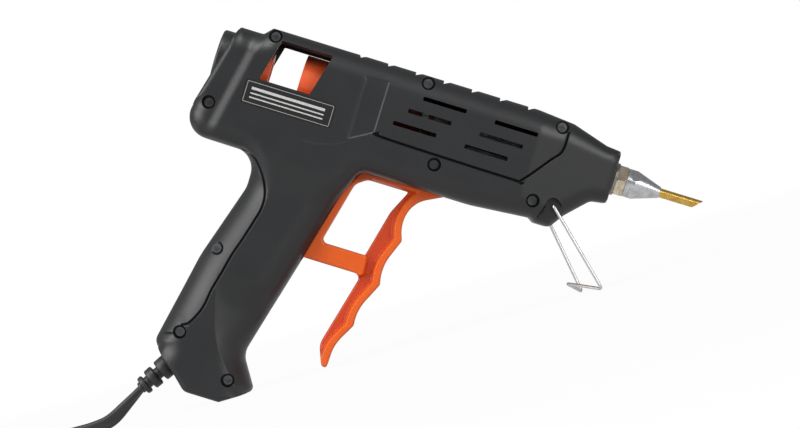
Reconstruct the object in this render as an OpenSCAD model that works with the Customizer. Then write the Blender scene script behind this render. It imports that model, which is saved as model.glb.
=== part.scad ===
// Hot glue applicator with a needle nozzle, standing on its grip's toe and its wire stand.
// Pieces are drawn in the gun's own frame: the nozzle's axis is X, pointing forward, the front face is
// x = 0 and the mid plane is y = 0. The last step leans the gun forward on the floor, z = 0.

/* [Casing] */
// Length of the casing's top, from the front face to its rear corner
barrel_length = 180; // [172:1:195]
// Half of the barrel's width
barrel_half_width = 21.5; // [20.5:0.5:25]
// Height of the top edge over the nozzle's axis
barrel_top = 19.6; // [19:0.2:23]
// Depth of the underside below the nozzle's axis
barrel_bottom = 30.2; // [29.6:0.2:33]
// Half of the grip's width
grip_half_width = 18.5; // [17:0.5:20.5]
// Depth of the grip from front to back
grip_depth = 40.4; // [38:0.2:44]
// Rearward lean of the grip, in degrees
grip_lean = 14.2; // [12:0.2:16]
// Thickness of the casing's walls
wall = 2.4; // [1.8:0.1:3]
// Half of the nose's width at the front face
nose_half_width = 13; // [12:0.5:15]
// Length over which the nose narrows
nose_length = 38; // [32:1:42]

/* [Vents and window] */
// Length of a side vent slot
vent_length = 20; // [12:0.5:22]
// Height of a side vent slot
vent_height = 1.5; // [1:0.1:3]
// Distance from one row of vent slots to the next
vent_pitch = 7.1; // [5:0.1:7.5]
// Number of notches along the top edge
notch_count = 7; // [3:1:8]
// Distance from one notch to the next
notch_pitch = 13.15; // [11:0.05:14]
// Width of a notch
notch_width = 3; // [2:0.1:5]
// Depth of a notch
notch_depth = 1.7; // [1:0.1:1.8]
// Length of the stick window
window_length = 23.6; // [16:0.2:25]
// Height of the stick window
window_height = 19.4; // [12:0.2:20]
// Length of the rating label
label_length = 41.5; // [30:0.5:44]
// Height of the rating label
label_height = 11; // [8:0.5:12]
// Thickness of the rating label
label_thickness = 0.4; // [0.2:0.1:0.8]

/* [Screws] */
// Diameter of a casing screw's thread
screw_d = 3; // [2.4:0.1:3.4]
// Diameter of a casing screw's head
screw_head_d = 4.2; // [3.8:0.1:4.6]
// Height of a casing screw's head
screw_head_h = 2; // [1.5:0.1:3]
// Distance from the mid plane to the seats of the screw heads
screw_seat = 12; // [10:0.5:13]
// Length of thread in the far half
screw_grip = 9; // [6:0.5:10]

/* [Feed] */
// Diameter of the glue stick
stick_d = 11.2; // [10:0.1:12]
// Gap between the stick and its guides, at the radius
stick_gap = 0.4; // [0.2:0.05:0.7]
// Diameter of the feed carriage
carriage_d = 26; // [22:0.5:26]
// Length of the feed carriage's sleeve
carriage_length = 16.5; // [12:0.5:17]
// Diameter of the inlet collar
collar_d = 26.4; // [22:0.2:27]
// Length of the inlet collar
collar_length = 15; // [14:0.5:16]
// Thickness of the feed lever
lever_thickness = 6.4; // [5:0.2:7]
// Diameter of the lever's pivot pin
pivot_d = 4; // [3:0.1:4.4]
// Diameter of the pin that links the trigger to the lever
link_d = 4; // [3:0.1:4.4]
// Diameter of the pin that links the lever to the carriage
carriage_pin_d = 3; // [2.4:0.1:3.4]

/* [Trigger] */
// Travel of the trigger
trigger_stroke = 14; // [10:0.5:14]
// Width of the trigger
trigger_width = 15; // [13:0.5:16]
// Thickness of the trigger's finger edge
finger_edge = 3; // [2:0.2:4]
// Depth of the recess on each side of the trigger
finger_recess = 3; // [1:0.5:4]
// Outer diameter of the return spring
spring_d = 8; // [7:0.2:8.4]
// Thickness of the spring's wire
spring_wire = 1; // [0.8:0.1:1.2]
// Number of turns of the spring
spring_turns = 7; // [5:1:7]

/* [Heater] */
// Diameter of the melt chamber
chamber_d = 19; // [17:0.2:20]
// Length of the melt chamber's body
chamber_length = 79; // [76:0.5:82]
// Length of the heater's housing
heater_length = 30; // [24:0.5:31]
// Width of the heater plate
heater_width = 10.4; // [8:0.2:12]
// Thickness of the heater plate
heater_thickness = 2.4; // [1.8:0.1:3]
// Gap between the silicone sleeve and the carriage at the end of its stroke
sleeve_gap = 7; // [2:0.5:12]
// Diameter of the silicone sleeve
sleeve_d = 18; // [17.4:0.2:19]
// Diameter of a heater lead
lead_d = 2.4; // [1.6:0.1:2.8]

/* [Nozzle] */
// Diameter of the thread that carries the nozzle
thread_d = 10; // [9:0.2:10.8]
// Width of the nozzle nut across its flats
nut_across = 13.2; // [12.6:0.2:15]
// Length of the nozzle nut
nut_length = 4; // [3:0.2:6]
// Diameter of the nozzle cone
cone_d = 13; // [12:0.2:13.4]
// Length of the nozzle cone
cone_length = 16.5; // [14:0.5:22]
// Diameter of the needle tube
needle_d = 4.2; // [3.4:0.1:4.6]
// Bore of the needle tube
needle_bore = 2.4; // [1.2:0.1:2.8]
// Length of needle tube that shows
needle_length = 20; // [12:0.5:30]

/* [Stand] */
// Forward lean of the gun on its stand, in degrees
stand_tilt = 33.2; // [31.5:0.1:35]
// Thickness of the stand's wire
wire_d = 1.6; // [1.2:0.1:2]
// Distance from the mid plane to each leg
leg_half_gap = 16.6; // [16.2:0.1:17]
// Distance that the near leg reaches forward of its pivot
near_reach = 10.6; // [8:0.2:13]
// Distance that the far leg reaches forward of its pivot
far_reach = 3.4; // [2:0.2:6]
// Height of the foot's middle over the floor
foot_rise = 6; // [3:0.5:9]
// Angle through which the stand folds back
fold_angle = 60; // [40:1:64]

/* [Cord] */
// Width of the flat cord
cord_width = 6.1; // [5:0.1:6.6]
// Thickness of the flat cord
cord_thickness = 3.4; // [2.6:0.1:3.6]
// Diameter of the strain relief's collar
relief_d = 9.6; // [8.6:0.2:10.4]
// Length of strain relief outside the grip
relief_length = 15; // [13:0.5:18]
// Radius of the hank's inmost fold
fold_r = 17; // [16.5:0.5:18.5]
// Length of the hank's straight runs
hank_run = 60; // [50:1:64]
// Number of whole turns in each of the hank's two layers
hank_turns = 2; // [1:1:2]
// Free gap between neighbouring turns of the hank
turn_gap = 0.8; // [0.7:0.1:1.2]
// Length of the plug's body
plug_length = 33; // [26:0.5:38]
// Width of the plug's body
plug_width = 23; // [20:0.5:25]
// Length of a plug blade
blade_length = 17; // [14:0.5:19]

/* [Clearances] */
// Gap beside pieces that slide
slide_gap = 0.35; // [0.2:0.05:0.5]
// Gap round a turning pin, at the radius
pin_gap = 0.06; // [0.03:0.01:0.09]
// Gap round a fixed piece in its seat
seat_gap = 0.05; // [0.03:0.01:0.1]
// Gap beside a link pin in its slot
slot_gap = 0.5; // [0.45:0.05:0.7]

/* [Hidden] */
$fn = 48;
arc_step = 15;
eps = 0.01;
far_out = 300;

charcoal = "#3f4042";
orange = "#f0641c";
carriage_red = "#d9502a";
steel = "#c4c6c8";
silver = "#e2e4e6";
brass = "#c99a35";
black = "#1c1c1e";
silicone = "#b8482e";
ceramic = "#e8e2d4";

// Plane geometry
function unit(v) = v / norm(v);
function xy(p) = [p[0], p[1]];
function left_of(v) = [-v[1], v[0]];
function wrap(i, n) = (i + n) % n;

// Points of the arc that rounds the corner b, between a and c, with radius r
function fillet(a, b, c, r) =
    let (u = unit(a - b), w = unit(c - b), half = acos(u * w) / 2)
    let (middle = b + unit(u + w) * r / sin(half))
    let (start = b + u * r / tan(half) - middle, stop = b + w * r / tan(half) - middle)
    let (from = atan2(start[1], start[0]))
    let (turn = (atan2(stop[1], stop[0]) - from + 540) % 360 - 180)
    let (steps = max(1, ceil(abs(turn) / arc_step)))
    [for (i = [0:steps]) middle + r * [cos(from + turn * i / steps), sin(from + turn * i / steps)]];

// Outline of corners, each given as x, y and the radius that rounds it
function rounded(corners) =
    let (n = len(corners))
    [for (i = [0:n - 1])
        each fillet(xy(corners[wrap(i - 1, n)]), xy(corners[i]), xy(corners[wrap(i + 1, n)]), corners[i][2])];

// The same corners moved inward by d, for an outline that runs anticlockwise
function inset(corners, d) =
    let (n = len(corners))
    [for (i = [0:n - 1])
        let (b = xy(corners[i]))
        let (e0 = unit(b - xy(corners[wrap(i - 1, n)])), e1 = unit(xy(corners[wrap(i + 1, n)]) - b))
        let (n0 = left_of(e0), n1 = left_of(e1), p = b + (n0 + n1) * d / (1 + n0 * n1))
        let (convex = e0[0] * e1[1] - e0[1] * e1[0] > 0, r = corners[i][2])
        [p[0], p[1], convex ? max(r - d, min(r, 0.4)) : r + d]];

function rectangle(x0, x1, y0, y1, r) = [[x0, y0, r], [x1, y0, r], [x1, y1, r], [x0, y1, r]];

// Places on the gun: measured from the rear corner and the axis, or the rear corner and the underside
function rear(p) = [p[0] - barrel_length, p[1], p[2]];
function low(p) = [p[0] - barrel_length, p[1] - barrel_bottom, p[2]];
function front_low(p) = [p[0], p[1] - barrel_bottom, p[2]];
function low_point(x, y, z) = [x - barrel_length, y, z - barrel_bottom];

// Stance on the floor
toe_start = low([39.9, -117.4, 1]);
toe_length = 15.6;
toe_end = [toe_start[0] + toe_length * cos(stand_tilt), toe_start[1] + toe_length * sin(stand_tilt), 2.2];
floor_drop = toe_start[0] * sin(stand_tilt) - toe_start[1] * cos(stand_tilt);
function on_floor(p) = [
    p[0] * cos(stand_tilt) + p[1] * sin(stand_tilt),
    -p[0] * sin(stand_tilt) + p[1] * cos(stand_tilt) + floor_drop
];
function on_gun(p) = [
    p[0] * cos(stand_tilt) - (p[1] - floor_drop) * sin(stand_tilt),
    p[0] * sin(stand_tilt) + (p[1] - floor_drop) * cos(stand_tilt)
];

// Strain relief: where its axis leaves the grip's heel, and the way that it points
relief_at = low([13, -108.3, 0]);
relief_turn = 238;
relief_way = [cos(relief_turn), sin(relief_turn)];
relief_core_r = cord_width / 2 + 0.15;
relief_inside = 8;
relief_neck = wall + 1.4;

// The floor's middle under the gun, between the needle's tip and the strain relief's end
washer_x = 0.3;
washer_length = 1.5;
nut_x = washer_x + washer_length;
cone_x = nut_x + nut_length;
cone_end = cone_x + cone_length;
needle_end = cone_end + needle_length;
relief_end = xy(relief_at) + relief_way * relief_length;
relief_low = relief_end + left_of(relief_way) * relief_core_r;
relief_high = relief_end - left_of(relief_way) * relief_core_r;
gun_max_x = on_floor([needle_end, needle_d / 2])[0];
gun_min_x = min(on_floor(relief_low)[0], on_floor(relief_high)[0]);
gun_shift = -(gun_max_x + gun_min_x) / 2;

// Side outline of the casing, anticlockwise from the front face's upper corner
rear_top = barrel_top - 3.7;
rear_bottom = -6.1;
casing_corners = [
    [0, 12.3, 1.2], [-7, 12.9, 8], [-24, barrel_top - 1.6, 14], [-41, barrel_top - 0.2, 6],
    rear([14.5, barrel_top, 1.6]), rear([11, rear_top, 1.6]), rear([0, rear_top, 1]),
    low([-13.4, rear_bottom, 10]), low([23.4, rear_bottom - 0.4, 9]), low([23.2, -21.8, 12]),
    low([12.2, -57, 60]), low([3.8, -100.2, 5]), low([17.6, -111.8, 2]), low([23.6, -117.4, 5]),
    toe_start, toe_end, low([43.8, -94.3, 9]), low([64.6, -14.8, 12]), low([70.2, 0, 5]),
    front_low([-58, -0.2, 30]), front_low([-31, 2.1, 2]), front_low([-28.5, 0.5, 2]),
    front_low([-21.5, 0.5, 3.2]),
    front_low([-16.8, 7.4, 12]), [-7, -12.9, 6], [0, -11.8, 1]
];

// Cross sections of the barrel and the grip
top_round = 11;
bottom_round = 9;
grip_round = 13;
bar_split = 66;
grip_at = low([34.7, -49.8, 0]);
grip_up = 62;
grip_down = 76;
toe_up = 40;
toe_reach = 14;
nose_round_r = 15.4;
nose_round_slope = 0.45;
nose_round_length = 60;
function barrel_section(lowest) = [
    [-barrel_half_width, lowest, bottom_round], [barrel_half_width, lowest, bottom_round],
    [barrel_half_width, barrel_top, top_round], [-barrel_half_width, barrel_top, top_round]
];

// Places of the casing screws, as x and z
screw_points = [
    xy(rear([16.7, barrel_top - 3.5])), [-92, barrel_top - 3.7], [-29, barrel_top - 4.9],
    xy(front_low([-32.3, 9.7])), xy(front_low([-79, 12.2])), xy(low([-3.3, 9.5])),
    xy(low([19, -51.8])), xy(low([14.2, -92.3])), xy(low([41, -106.8]))
];
recess_gap = 0.95;
recess_r = screw_head_d / 2 + recess_gap;
boss_wall = 0.9;
boss_r = recess_r + boss_wall;
screw_hole_gap = 0.2;
screw_slot = 0.7;

// Stick guides
stick_r = stick_d / 2;
guide_r = stick_r + stick_gap;
collar_start = -7;
groove_r = collar_d / 2 - 2.2;
groove_at = 10.5;
groove_width = 2.4;

// Feed mechanism at rest, with places measured from the rear corner
carriage_start = 32.5;
carriage_ring_start = 10;
carriage_ring_length = 8.3;
carriage_ring_r = guide_r + 3;
carriage_foot = 5;
carriage_r = carriage_d / 2;
wing_low = -9;
wing_high = -6.5;
wing_y = 16.5;
rail_y = carriage_r + slide_gap + 0.3;
rail_start = 28;
rail_end = 66;
rail_thickness = 1.5;
rail_foot = 3;
pivot_at = low([42, 3.2, 0]);
link_z = pivot_at[1] - 14;
carriage_pin_z = -carriage_r - 4;
link_drop = pivot_at[1] - link_z;
pin_rise = carriage_pin_z - pivot_at[1];
lever_angle = atan(trigger_stroke / 2 / link_drop);
link_x = pivot_at[0] + trigger_stroke / 2;
carriage_pin_x = pivot_at[0] - pin_rise * tan(lever_angle);
carriage_stroke = 2 * pin_rise * tan(lever_angle);
lever_hub_r = pivot_d / 2 + 2.2;
lever_end_wall = 2.2;
ear_gap = 0.6;
ear_thickness = 2.7;
ear_inner = lever_thickness / 2 + ear_gap;
ear_outer = ear_inner + ear_thickness;
pivot_boss_gap = 0.8;
pivot_end = 15.4;

// Trigger outline, anticlockwise from its front tip, and its finger ridges from the top down
finger_corners = [
    low([94.7, -17.3, 16]), low([97.3, -24.8, 1.8]), low([92, -38.3, 22]), low([93.6, -46.6, 2]),
    low([87.1, -60.3, 22]), low([87.6, -67.6, 2]), low([81.7, -78.3, 22])
];
trigger_top = 0.6;
trigger_corners = concat(
    [low([109.5, trigger_top - 0.9, 0.3]), low([109, trigger_top, 0.3]), low([71, trigger_top, 0.6]),
     low([64.2, -11.8, 14]), low([56.4, -44.6, 0.6]), low([84.2, -44.6, 2.5]),
     low([75.2, -80.1, 9]), low([79, -89, 1.6]), low([81.4, -89.4, 1.2])],
    [for (i = [len(finger_corners) - 1:-1:0]) finger_corners[i]],
    [low([97.2, -6.6, 13])]
);
trigger_opening = [
    low([62.4, -35.8, 2.2]), low([83.2, -35.8, 0.8]), low([88.5, -13.8, 15]), low([93.7, -2.8, 0.6]),
    low([74.5, -2.8, 5]), low([69.5, -6.3, 6])
];
recess_back = [
    low([78.4, -85.6, 0.8]), low([73.5, -85.6, 0.3]), low([71.5, -80.5, 0.3]), low([80.4, -46.8, 0.3]),
    low([84.4, -44, 0.6]), low([83.9, -37.2, 0.6]), low([81.8, -34.2, 0.3]), low([86.3, -14.4, 0.3]),
    low([89.9, -5.4, 0.3]), low([76, -4.9, 0.3]), low([75, -1.2, 0.3]), low([98.2, -1.2, 0.5]),
    low([94.3, -7.6, 6])
];
finger_recess_corners = concat(
    recess_back, [for (p = finger_corners) [p[0] - finger_edge, p[1], p[2]]]
);
slot_back = 52;
arm_at = 67;
bar_low = -44.6;
bar_high = -35.8;
bar_middle = (bar_low + bar_high) / 2;
bar_rear = 49;
bar_half_width = 5.5;
spring_rest = 24;
spring_foot = 3.5;
spring_at = low([bar_rear, bar_middle, 0]);
spigot_gap = 0.6;
spigot_length = 5;

// Melt chamber, sleeve and heater
chamber_r = chamber_d / 2;
chamber_front = -6;
chamber_rear = chamber_front - chamber_length;
neck_r = thread_d / 2 + 2;
spout_r = 2.5;
spigot_wall = 1.6;
spigot_r = guide_r + spigot_wall;
sleeve_overlap = 7;
sleeve_start = carriage_start + carriage_length - barrel_length + carriage_stroke + sleeve_gap;
sleeve_length = chamber_rear - seat_gap - sleeve_start;
clip_width = 3;
clip_thickness = 1.2;
clip_start = sleeve_start + sleeve_length - sleeve_overlap + 1.5;
heater_place = 0.3925;
heater_front = chamber_front - heater_place * chamber_length;
heater_rear = heater_front - heater_length;
contact_thickness = 0.5;
film = 0.6;
pack_half_width = heater_width / 2 + seat_gap;
pack_middle = -(chamber_r + 3.4);
pack_half = heater_thickness / 2 + contact_thickness + 2 * seat_gap;
pocket_half = pack_half + film + seat_gap;
pocket_half_width = pack_half_width + film + seat_gap;
housing_wall = 1.8;
tab_length = 2;
tab_width = 3.6;
tab_y = 3.2;
crimp_length = 4;
crimp_r = lead_d / 2 + 0.4;
crimp_front = heater_rear - tab_length;
rib_half_height = 8;
rib_width = 2;
front_rib = -16;
rear_rib = chamber_rear + 3;
sleeve_rib = sleeve_start + 0.26 * (clip_start - sleeve_start);

// Wire stand: the pivot, the corners of its foot and the crank of its far leg
wire_r = wire_d / 2;
stand_at = front_low([-23, 10.5, 0]);
stand_floor = on_floor(stand_at);
bend_r = wire_r * 1.04;
near_corner = on_gun([stand_floor[0] + near_reach, bend_r]);
far_corner = on_gun([stand_floor[0] + far_reach, bend_r]);
foot_middle = on_gun([stand_floor[0] - 3, foot_rise + wire_r]);
far_crank = xy(stand_at) + [2.8, -8];
stand_end = 11;
stand_gap = 0.08;
function stand_angle(p) = atan2(p[1] - stand_at[1], p[0] - stand_at[0]);
near_angle = stand_angle(near_corner);
far_angle = stand_angle(far_corner);
crank_angle = stand_angle(far_crank);
pocket_floor = leg_half_gap - wire_r - 0.2;
pocket_lead = 7;
pocket_r = 3.2;

// Cord clamp inside the grip, measured along the strain relief's axis
clamp_from = -25;
clamp_to = -19;
clamp_middle = (clamp_from + clamp_to) / 2;
clamp_bar = 3;
clamp_half_width = 9.4;
clamp_screw_y = 6.6;
clamp_screw_d = 2.4;
tail_end = -28;
pad_depth = 4.5;

// Cord on the floor: points as x, y and z, from the strain relief's end into the hank and on to the plug
cord_start = on_floor(relief_end);
cord_way = [cos(relief_turn - stand_tilt), 0, sin(relief_turn - stand_tilt)];
turn_pitch = cord_thickness + turn_gap;
layer_pitch = cord_width + turn_gap;
layer_folds = 2 * hank_turns + 1;
hank_outer_r = fold_r + turn_pitch * layer_folds / 2;
tie_thickness = 0.8;
tie_gap = 0.5;
tie_width = 6;
coil_low = cord_width / 2 + tie_thickness + tie_gap + 0.1;
coil_high = coil_low + layer_pitch;
near_fold = -204 - hank_outer_r - cord_thickness / 2;
far_fold = near_fold - hank_run;
fold_steps = 12;
cord_route = concat(
    [[cord_start[0] + gun_shift, 0, cord_start[1]]],
    [[-142.5, 0, 9.7], [-151, 0, 5], [-159.5, 0.2, 3.6], [-169, 1.2, 3.6]],
    [for (p = [[54, 4.2], [44, 0.36 * hank_outer_r], [34, 0.59 * hank_outer_r], [23, 0.82 * hank_outer_r]])
        [near_fold + p[0], p[1], 3.6]],
    [[near_fold + 11, hank_outer_r - 0.7, 4.1], [near_fold, hank_outer_r, coil_low]]
);
plug_half_height = 8;
plug_rest = coil_high + cord_width / 2;
plug_axis_z = plug_rest + 0.1 + plug_half_height;
plug_entry = [near_fold - 32, fold_r + 1, plug_axis_z];
end_steps = 9;
function end_z(k) = let (t = k / end_steps) coil_high + (plug_axis_z - coil_high) * t * t * (3 - 2 * t);
end_route = concat(
    [for (k = [0:6]) let (r = hank_outer_r - turn_pitch / 4 * (1 - k / 6))
        [near_fold + r * cos(15 * k), r * sin(15 * k), end_z(k)]],
    [[near_fold - 11, hank_outer_r - 1.2, end_z(7)], [near_fold - 22, (hank_outer_r + fold_r) / 2, end_z(8)]],
    [plug_entry]
);

// Tubes swept along points, with a flat section that turns from lying across to standing on edge
function along(points, i) =
    let (n = len(points))
    unit(points[min(i + 1, n - 1)] - points[max(i - 1, 0)]);
function across(way) = unit(cross([0, 0, 1], way));
function section_point(a, width, thickness, sides) =
    [width / 2 * cos(a), thickness / 2 * sin(a) / (sides == 6 ? sin(60) : 1)];
function flat_ring(centre, way, width, thickness, sides, twist) =
    let (side = across(way), up = cross(way, side))
    let (wide = side * cos(twist) + up * sin(twist), thin = cross(way, wide))
    [for (k = [0:sides - 1])
        let (s = section_point(360 * k / sides, width, thickness, sides))
        centre + wide * s[0] + thin * s[1]];
function tube_faces(rings, sides) = concat(
    [for (k = [1:sides - 2]) [0, k, k + 1]],
    [for (i = [0:rings - 2], k = [0:sides - 1])
        each let (a = i * sides + k, b = i * sides + (k + 1) % sides)
            [[a, a + sides, b], [b, a + sides, b + sides]]],
    [for (k = [1:sides - 2])
        let (o = (rings - 1) * sides) [o, o + k + 1, o + k]]
);
module swept(rings) {
    sides = len(rings[0]);
    polyhedron([for (r = rings) each r], tube_faces(len(rings), sides), convexity = 10);
}

// Least gap between turns of a flat tube that stands on edge: beside each other, or over each other
function lap_gap(p, q) = max(norm(xy(p) - xy(q)) - cord_thickness, abs(p[2] - q[2]) - cord_width);
function least_gap(points, skip) =
    min([for (i = [0:len(points) - 1 - skip])
        min([for (j = [i + skip:len(points) - 1]) lap_gap(points[i], points[j])])]);

// Placing
module placed() translate([gun_shift, 0, floor_drop]) rotate([0, stand_tilt, 0]) children();
module side_prism(points, half_width)
    rotate([90, 0, 0]) translate([0, 0, -half_width]) linear_extrude(2 * half_width) polygon(points);
module along_x(points, x0, x1)
    translate([x0, 0, 0]) rotate([90, 0, 90]) linear_extrude(x1 - x0) polygon(points);
module rod_x(r, x0, x1) translate([x0, 0, 0]) rotate([0, 90, 0]) cylinder(r = r, h = x1 - x0);
module rod_y(r, y0, y1) translate([0, y0, 0]) rotate([-90, 0, 0]) cylinder(r = r, h = y1 - y0);
module at(p) translate([p[0], 0, p[1]]) children();
module box(low_corner, high_corner) translate(low_corner) cube(high_corner - low_corner);
module each_side() {
    children();
    mirror([0, 1, 0]) children();
}
module at_relief() at(relief_at) rotate([0, 90 - relief_turn, 0]) children();

// Casing
module casing_bars(d) {
    split = bar_split - barrel_length;
    lowest = -barrel_bottom + rear_bottom - 0.4;
    along_x(rounded(inset(barrel_section(-barrel_bottom - 0.5), d)), split - 1, 1);
    along_x(rounded(inset(barrel_section(lowest), d)), -barrel_length - 20, split);
    at(grip_at) rotate([0, grip_lean, 0]) {
        translate([0, 0, -grip_down]) linear_extrude(grip_up + grip_down)
            polygon(rounded(inset(rectangle(-grip_depth / 2, grip_depth / 2, -grip_half_width,
                grip_half_width, grip_round), d)));
        translate([0, 0, -grip_down]) linear_extrude(toe_up)
            polygon(rounded(inset(rectangle(-grip_depth / 2, grip_depth / 2 + toe_reach,
                -grip_half_width, grip_half_width, grip_round), d)));
    }
}
module nose_plan(d)
    translate([0, 0, -far_out / 2]) linear_extrude(far_out) polygon([
        [-far_out, -barrel_half_width + d], [-nose_length, -barrel_half_width + d],
        [0, -nose_half_width + d], [1, -nose_half_width + d], [1, nose_half_width - d],
        [0, nose_half_width - d], [-nose_length, barrel_half_width - d], [-far_out, barrel_half_width - d]
    ]);
module nose_cone(d)
    translate([1, 0, 0]) rotate([0, -90, 0]) {
        cylinder(r1 = nose_round_r - d, r2 = nose_round_r - d + nose_round_slope * nose_round_length,
            h = nose_round_length);
        translate([0, 0, nose_round_length - eps]) cylinder(r = far_out, h = far_out);
    }
module casing_form(d)
    intersection() {
        side_prism(rounded(inset(casing_corners, d)), barrel_half_width);
        casing_bars(d);
        nose_plan(d);
        nose_cone(d);
    }
module half_space(side)
    translate([-far_out, side < 0 ? -far_out : 0, -far_out]) cube([2 * far_out, far_out, 2 * far_out]);

module ring_plate(x, width, half_height, hole_r)
    difference() {
        box([x, -barrel_half_width, -half_height], [x + width, barrel_half_width, half_height]);
        rod_x(hole_r, x - eps, x + width + eps);
    }
module casing_rails()
    each_side() {
        box([rail_start - barrel_length, rail_y, wing_low - slide_gap - rail_foot],
            [rail_end - barrel_length, barrel_half_width, wing_low - slide_gap]);
        box([rail_start - barrel_length, rail_y, wing_high + slide_gap],
            [rail_end - barrel_length, barrel_half_width, wing_high + slide_gap + rail_thickness]);
    }
module casing_ribs() {
    for (p = screw_points) at(p) rod_y(boss_r, -barrel_half_width, barrel_half_width);
    ring_plate(groove_at + collar_start - barrel_length + slide_gap / 2, groove_width - slide_gap,
        collar_d / 2 + 1, groove_r + seat_gap);
    casing_rails();
    each_side() at(pivot_at)
        rod_y(lever_hub_r, lever_thickness / 2 + pivot_boss_gap, barrel_half_width);
    ring_plate(front_rib, rib_width, rib_half_height, chamber_r + seat_gap);
    ring_plate(rear_rib, rib_width, rib_half_height, chamber_r + seat_gap);
    ring_plate(sleeve_rib, rib_width, rib_half_height, sleeve_d / 2 + seat_gap);
    at(spring_at) box([-spring_rest - 12, -7, -6], [-spring_rest, 7, 6]);
    each_side() at(stand_at) {
        rod_y(pocket_r, stand_end - 1, barrel_half_width);
        box([-16, pocket_floor - wall, -12], [16, barrel_half_width, 8]);
    }
    at_relief() box([-cord_thickness / 2 - pad_depth, -grip_half_width, clamp_from - 1],
        [-cord_thickness / 2, grip_half_width, clamp_to + 1]);
}
module casing_vents() {
    for (group = [0, 1], row = [-1:1])
        translate([-87 + 33.4 * group + 4.9 * row, 0, 1.6 - 0.7 * group + vent_pitch * row])
            box([-vent_length / 2, -far_out, -vent_height / 2], [vent_length / 2, far_out, vent_height / 2]);
    for (i = [0:notch_count - 1])
        translate([-44.6 - notch_pitch * i, 0, barrel_top])
            side_prism([[-notch_width / 2, -notch_depth], [notch_width / 2, 0.3], [notch_width / 2, 10],
                [-notch_width / 2, 10]], barrel_half_width);
}
module casing_window()
    side_prism(rounded([
        rear([15.3, 15 - window_height, 0.8]), rear([15.3 + window_length, 15 - window_height, 0.8]),
        rear([20.4 + window_length, 15, 0.8]), rear([20.4, 15, 0.8])
    ]), far_out);
module label_form(thickness)
    translate([rear([31, 0])[0], -barrel_half_width + thickness, -11])
        rotate([90, 0, 0]) linear_extrude(thickness)
            polygon(rounded(rectangle(-label_length / 2, label_length / 2, -label_height / 2,
                label_height / 2, 1.2)));
module rear_step()
    each_side() translate([0, barrel_half_width - 1.2, 0]) rotate([90, 0, 0]) translate([0, 0, -far_out])
        linear_extrude(far_out) polygon([
            xy(rear([12, barrel_top + 5])), xy(rear([-40, barrel_top + 5])), xy(low([-40, -1])),
            xy(low([1, -1]))
        ]);
function ray(angle, length) = xy(stand_at) + length * [cos(angle), sin(angle)];
module stand_pocket(side) {
    from = (side < 0 ? near_angle : far_angle) + pocket_lead;
    to = (side < 0 ? near_angle : crank_angle) - fold_angle - pocket_lead;
    translate([0, side < 0 ? -pocket_floor : far_out, 0]) rotate([90, 0, 0])
        linear_extrude(far_out - (side < 0 ? 0 : pocket_floor)) {
            polygon([ray(from + 90, pocket_r), ray(from, 60), ray((from + to) / 2, 60), ray(to, 60),
                ray(to - 90, pocket_r)]);
            translate(xy(stand_at)) circle(r = pocket_r);
        }
}
module casing_cuts(side) {
    casing_vents();
    casing_window();
    rear_step();
    stand_pocket(side);
    if (side < 0) label_form(label_thickness);
    for (p = screw_points) at(p) {
        if (side < 0) {
            rod_y(recess_r, -far_out, -screw_seat);
            rod_y(screw_d / 2 + screw_hole_gap, -screw_seat - eps, 0);
        } else {
            rod_y(screw_d / 2 + seat_gap, 0, screw_grip + 1);
        }
    }
    box([slot_back - barrel_length, -trigger_width / 2 - slide_gap, bar_low - barrel_bottom - slide_gap],
        [-60, trigger_width / 2 + slide_gap, trigger_top - barrel_bottom + slide_gap]);
    rod_x(collar_d / 2 + seat_gap, -barrel_length - 30, groove_at + collar_start - barrel_length);
    rod_x(neck_r + seat_gap, -wall - 5, 5);
    at_relief() {
        cylinder(r = relief_d / 2 - 0.6 + seat_gap, h = relief_neck * 2 + 4, center = true);
        translate([0, 0, 0]) cylinder(r = relief_d / 2 + 1, h = 20);
        translate([0, 0, -relief_inside - seat_gap])
            cylinder(r = relief_d / 2 + 1.2 + seat_gap, h = relief_inside - relief_neck + 2 * seat_gap);
        for (s = [-1, 1])
            translate([-cord_thickness / 2 - pad_depth - 1, s * clamp_screw_y, clamp_middle])
                rotate([0, 90, 0]) cylinder(r = clamp_screw_d / 2 + seat_gap, h = pad_depth + 2);
    }
    at(stand_at) rod_y(wire_r + stand_gap, -far_out, far_out);
    at(pivot_at) rod_y(pivot_d / 2 + seat_gap, -pivot_end - seat_gap, pivot_end + seat_gap);
}
module casing_half(side)
    difference() {
        intersection() {
            half_space(side);
            union() {
                difference() {
                    casing_form(0);
                    casing_form(wall);
                }
                intersection() {
                    casing_form(wall / 2);
                    casing_ribs();
                }
            }
        }
        casing_cuts(side);
    }
module right_casing() color(charcoal) placed() casing_half(-1);
module left_casing() color(charcoal) placed() casing_half(1);

module screw(thread_r, head_r, head_h, length) {
    difference() {
        rod_y(head_r, -head_h, 0);
        for (turn = [0, 90]) rotate([0, turn, 0])
            box([-head_r * 0.6, -head_h - eps, -screw_slot / 2],
                [head_r * 0.6, -head_h + 0.8, screw_slot / 2]);
    }
    rod_y(thread_r, -eps, length);
}
module casing_screws() color(steel) placed()
    for (p = screw_points) translate([p[0], -screw_seat, p[1]])
        screw(screw_d / 2, screw_head_d / 2, screw_head_h, screw_seat + screw_grip);
module rating_label() color(black) placed() label_form(label_thickness);

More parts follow.
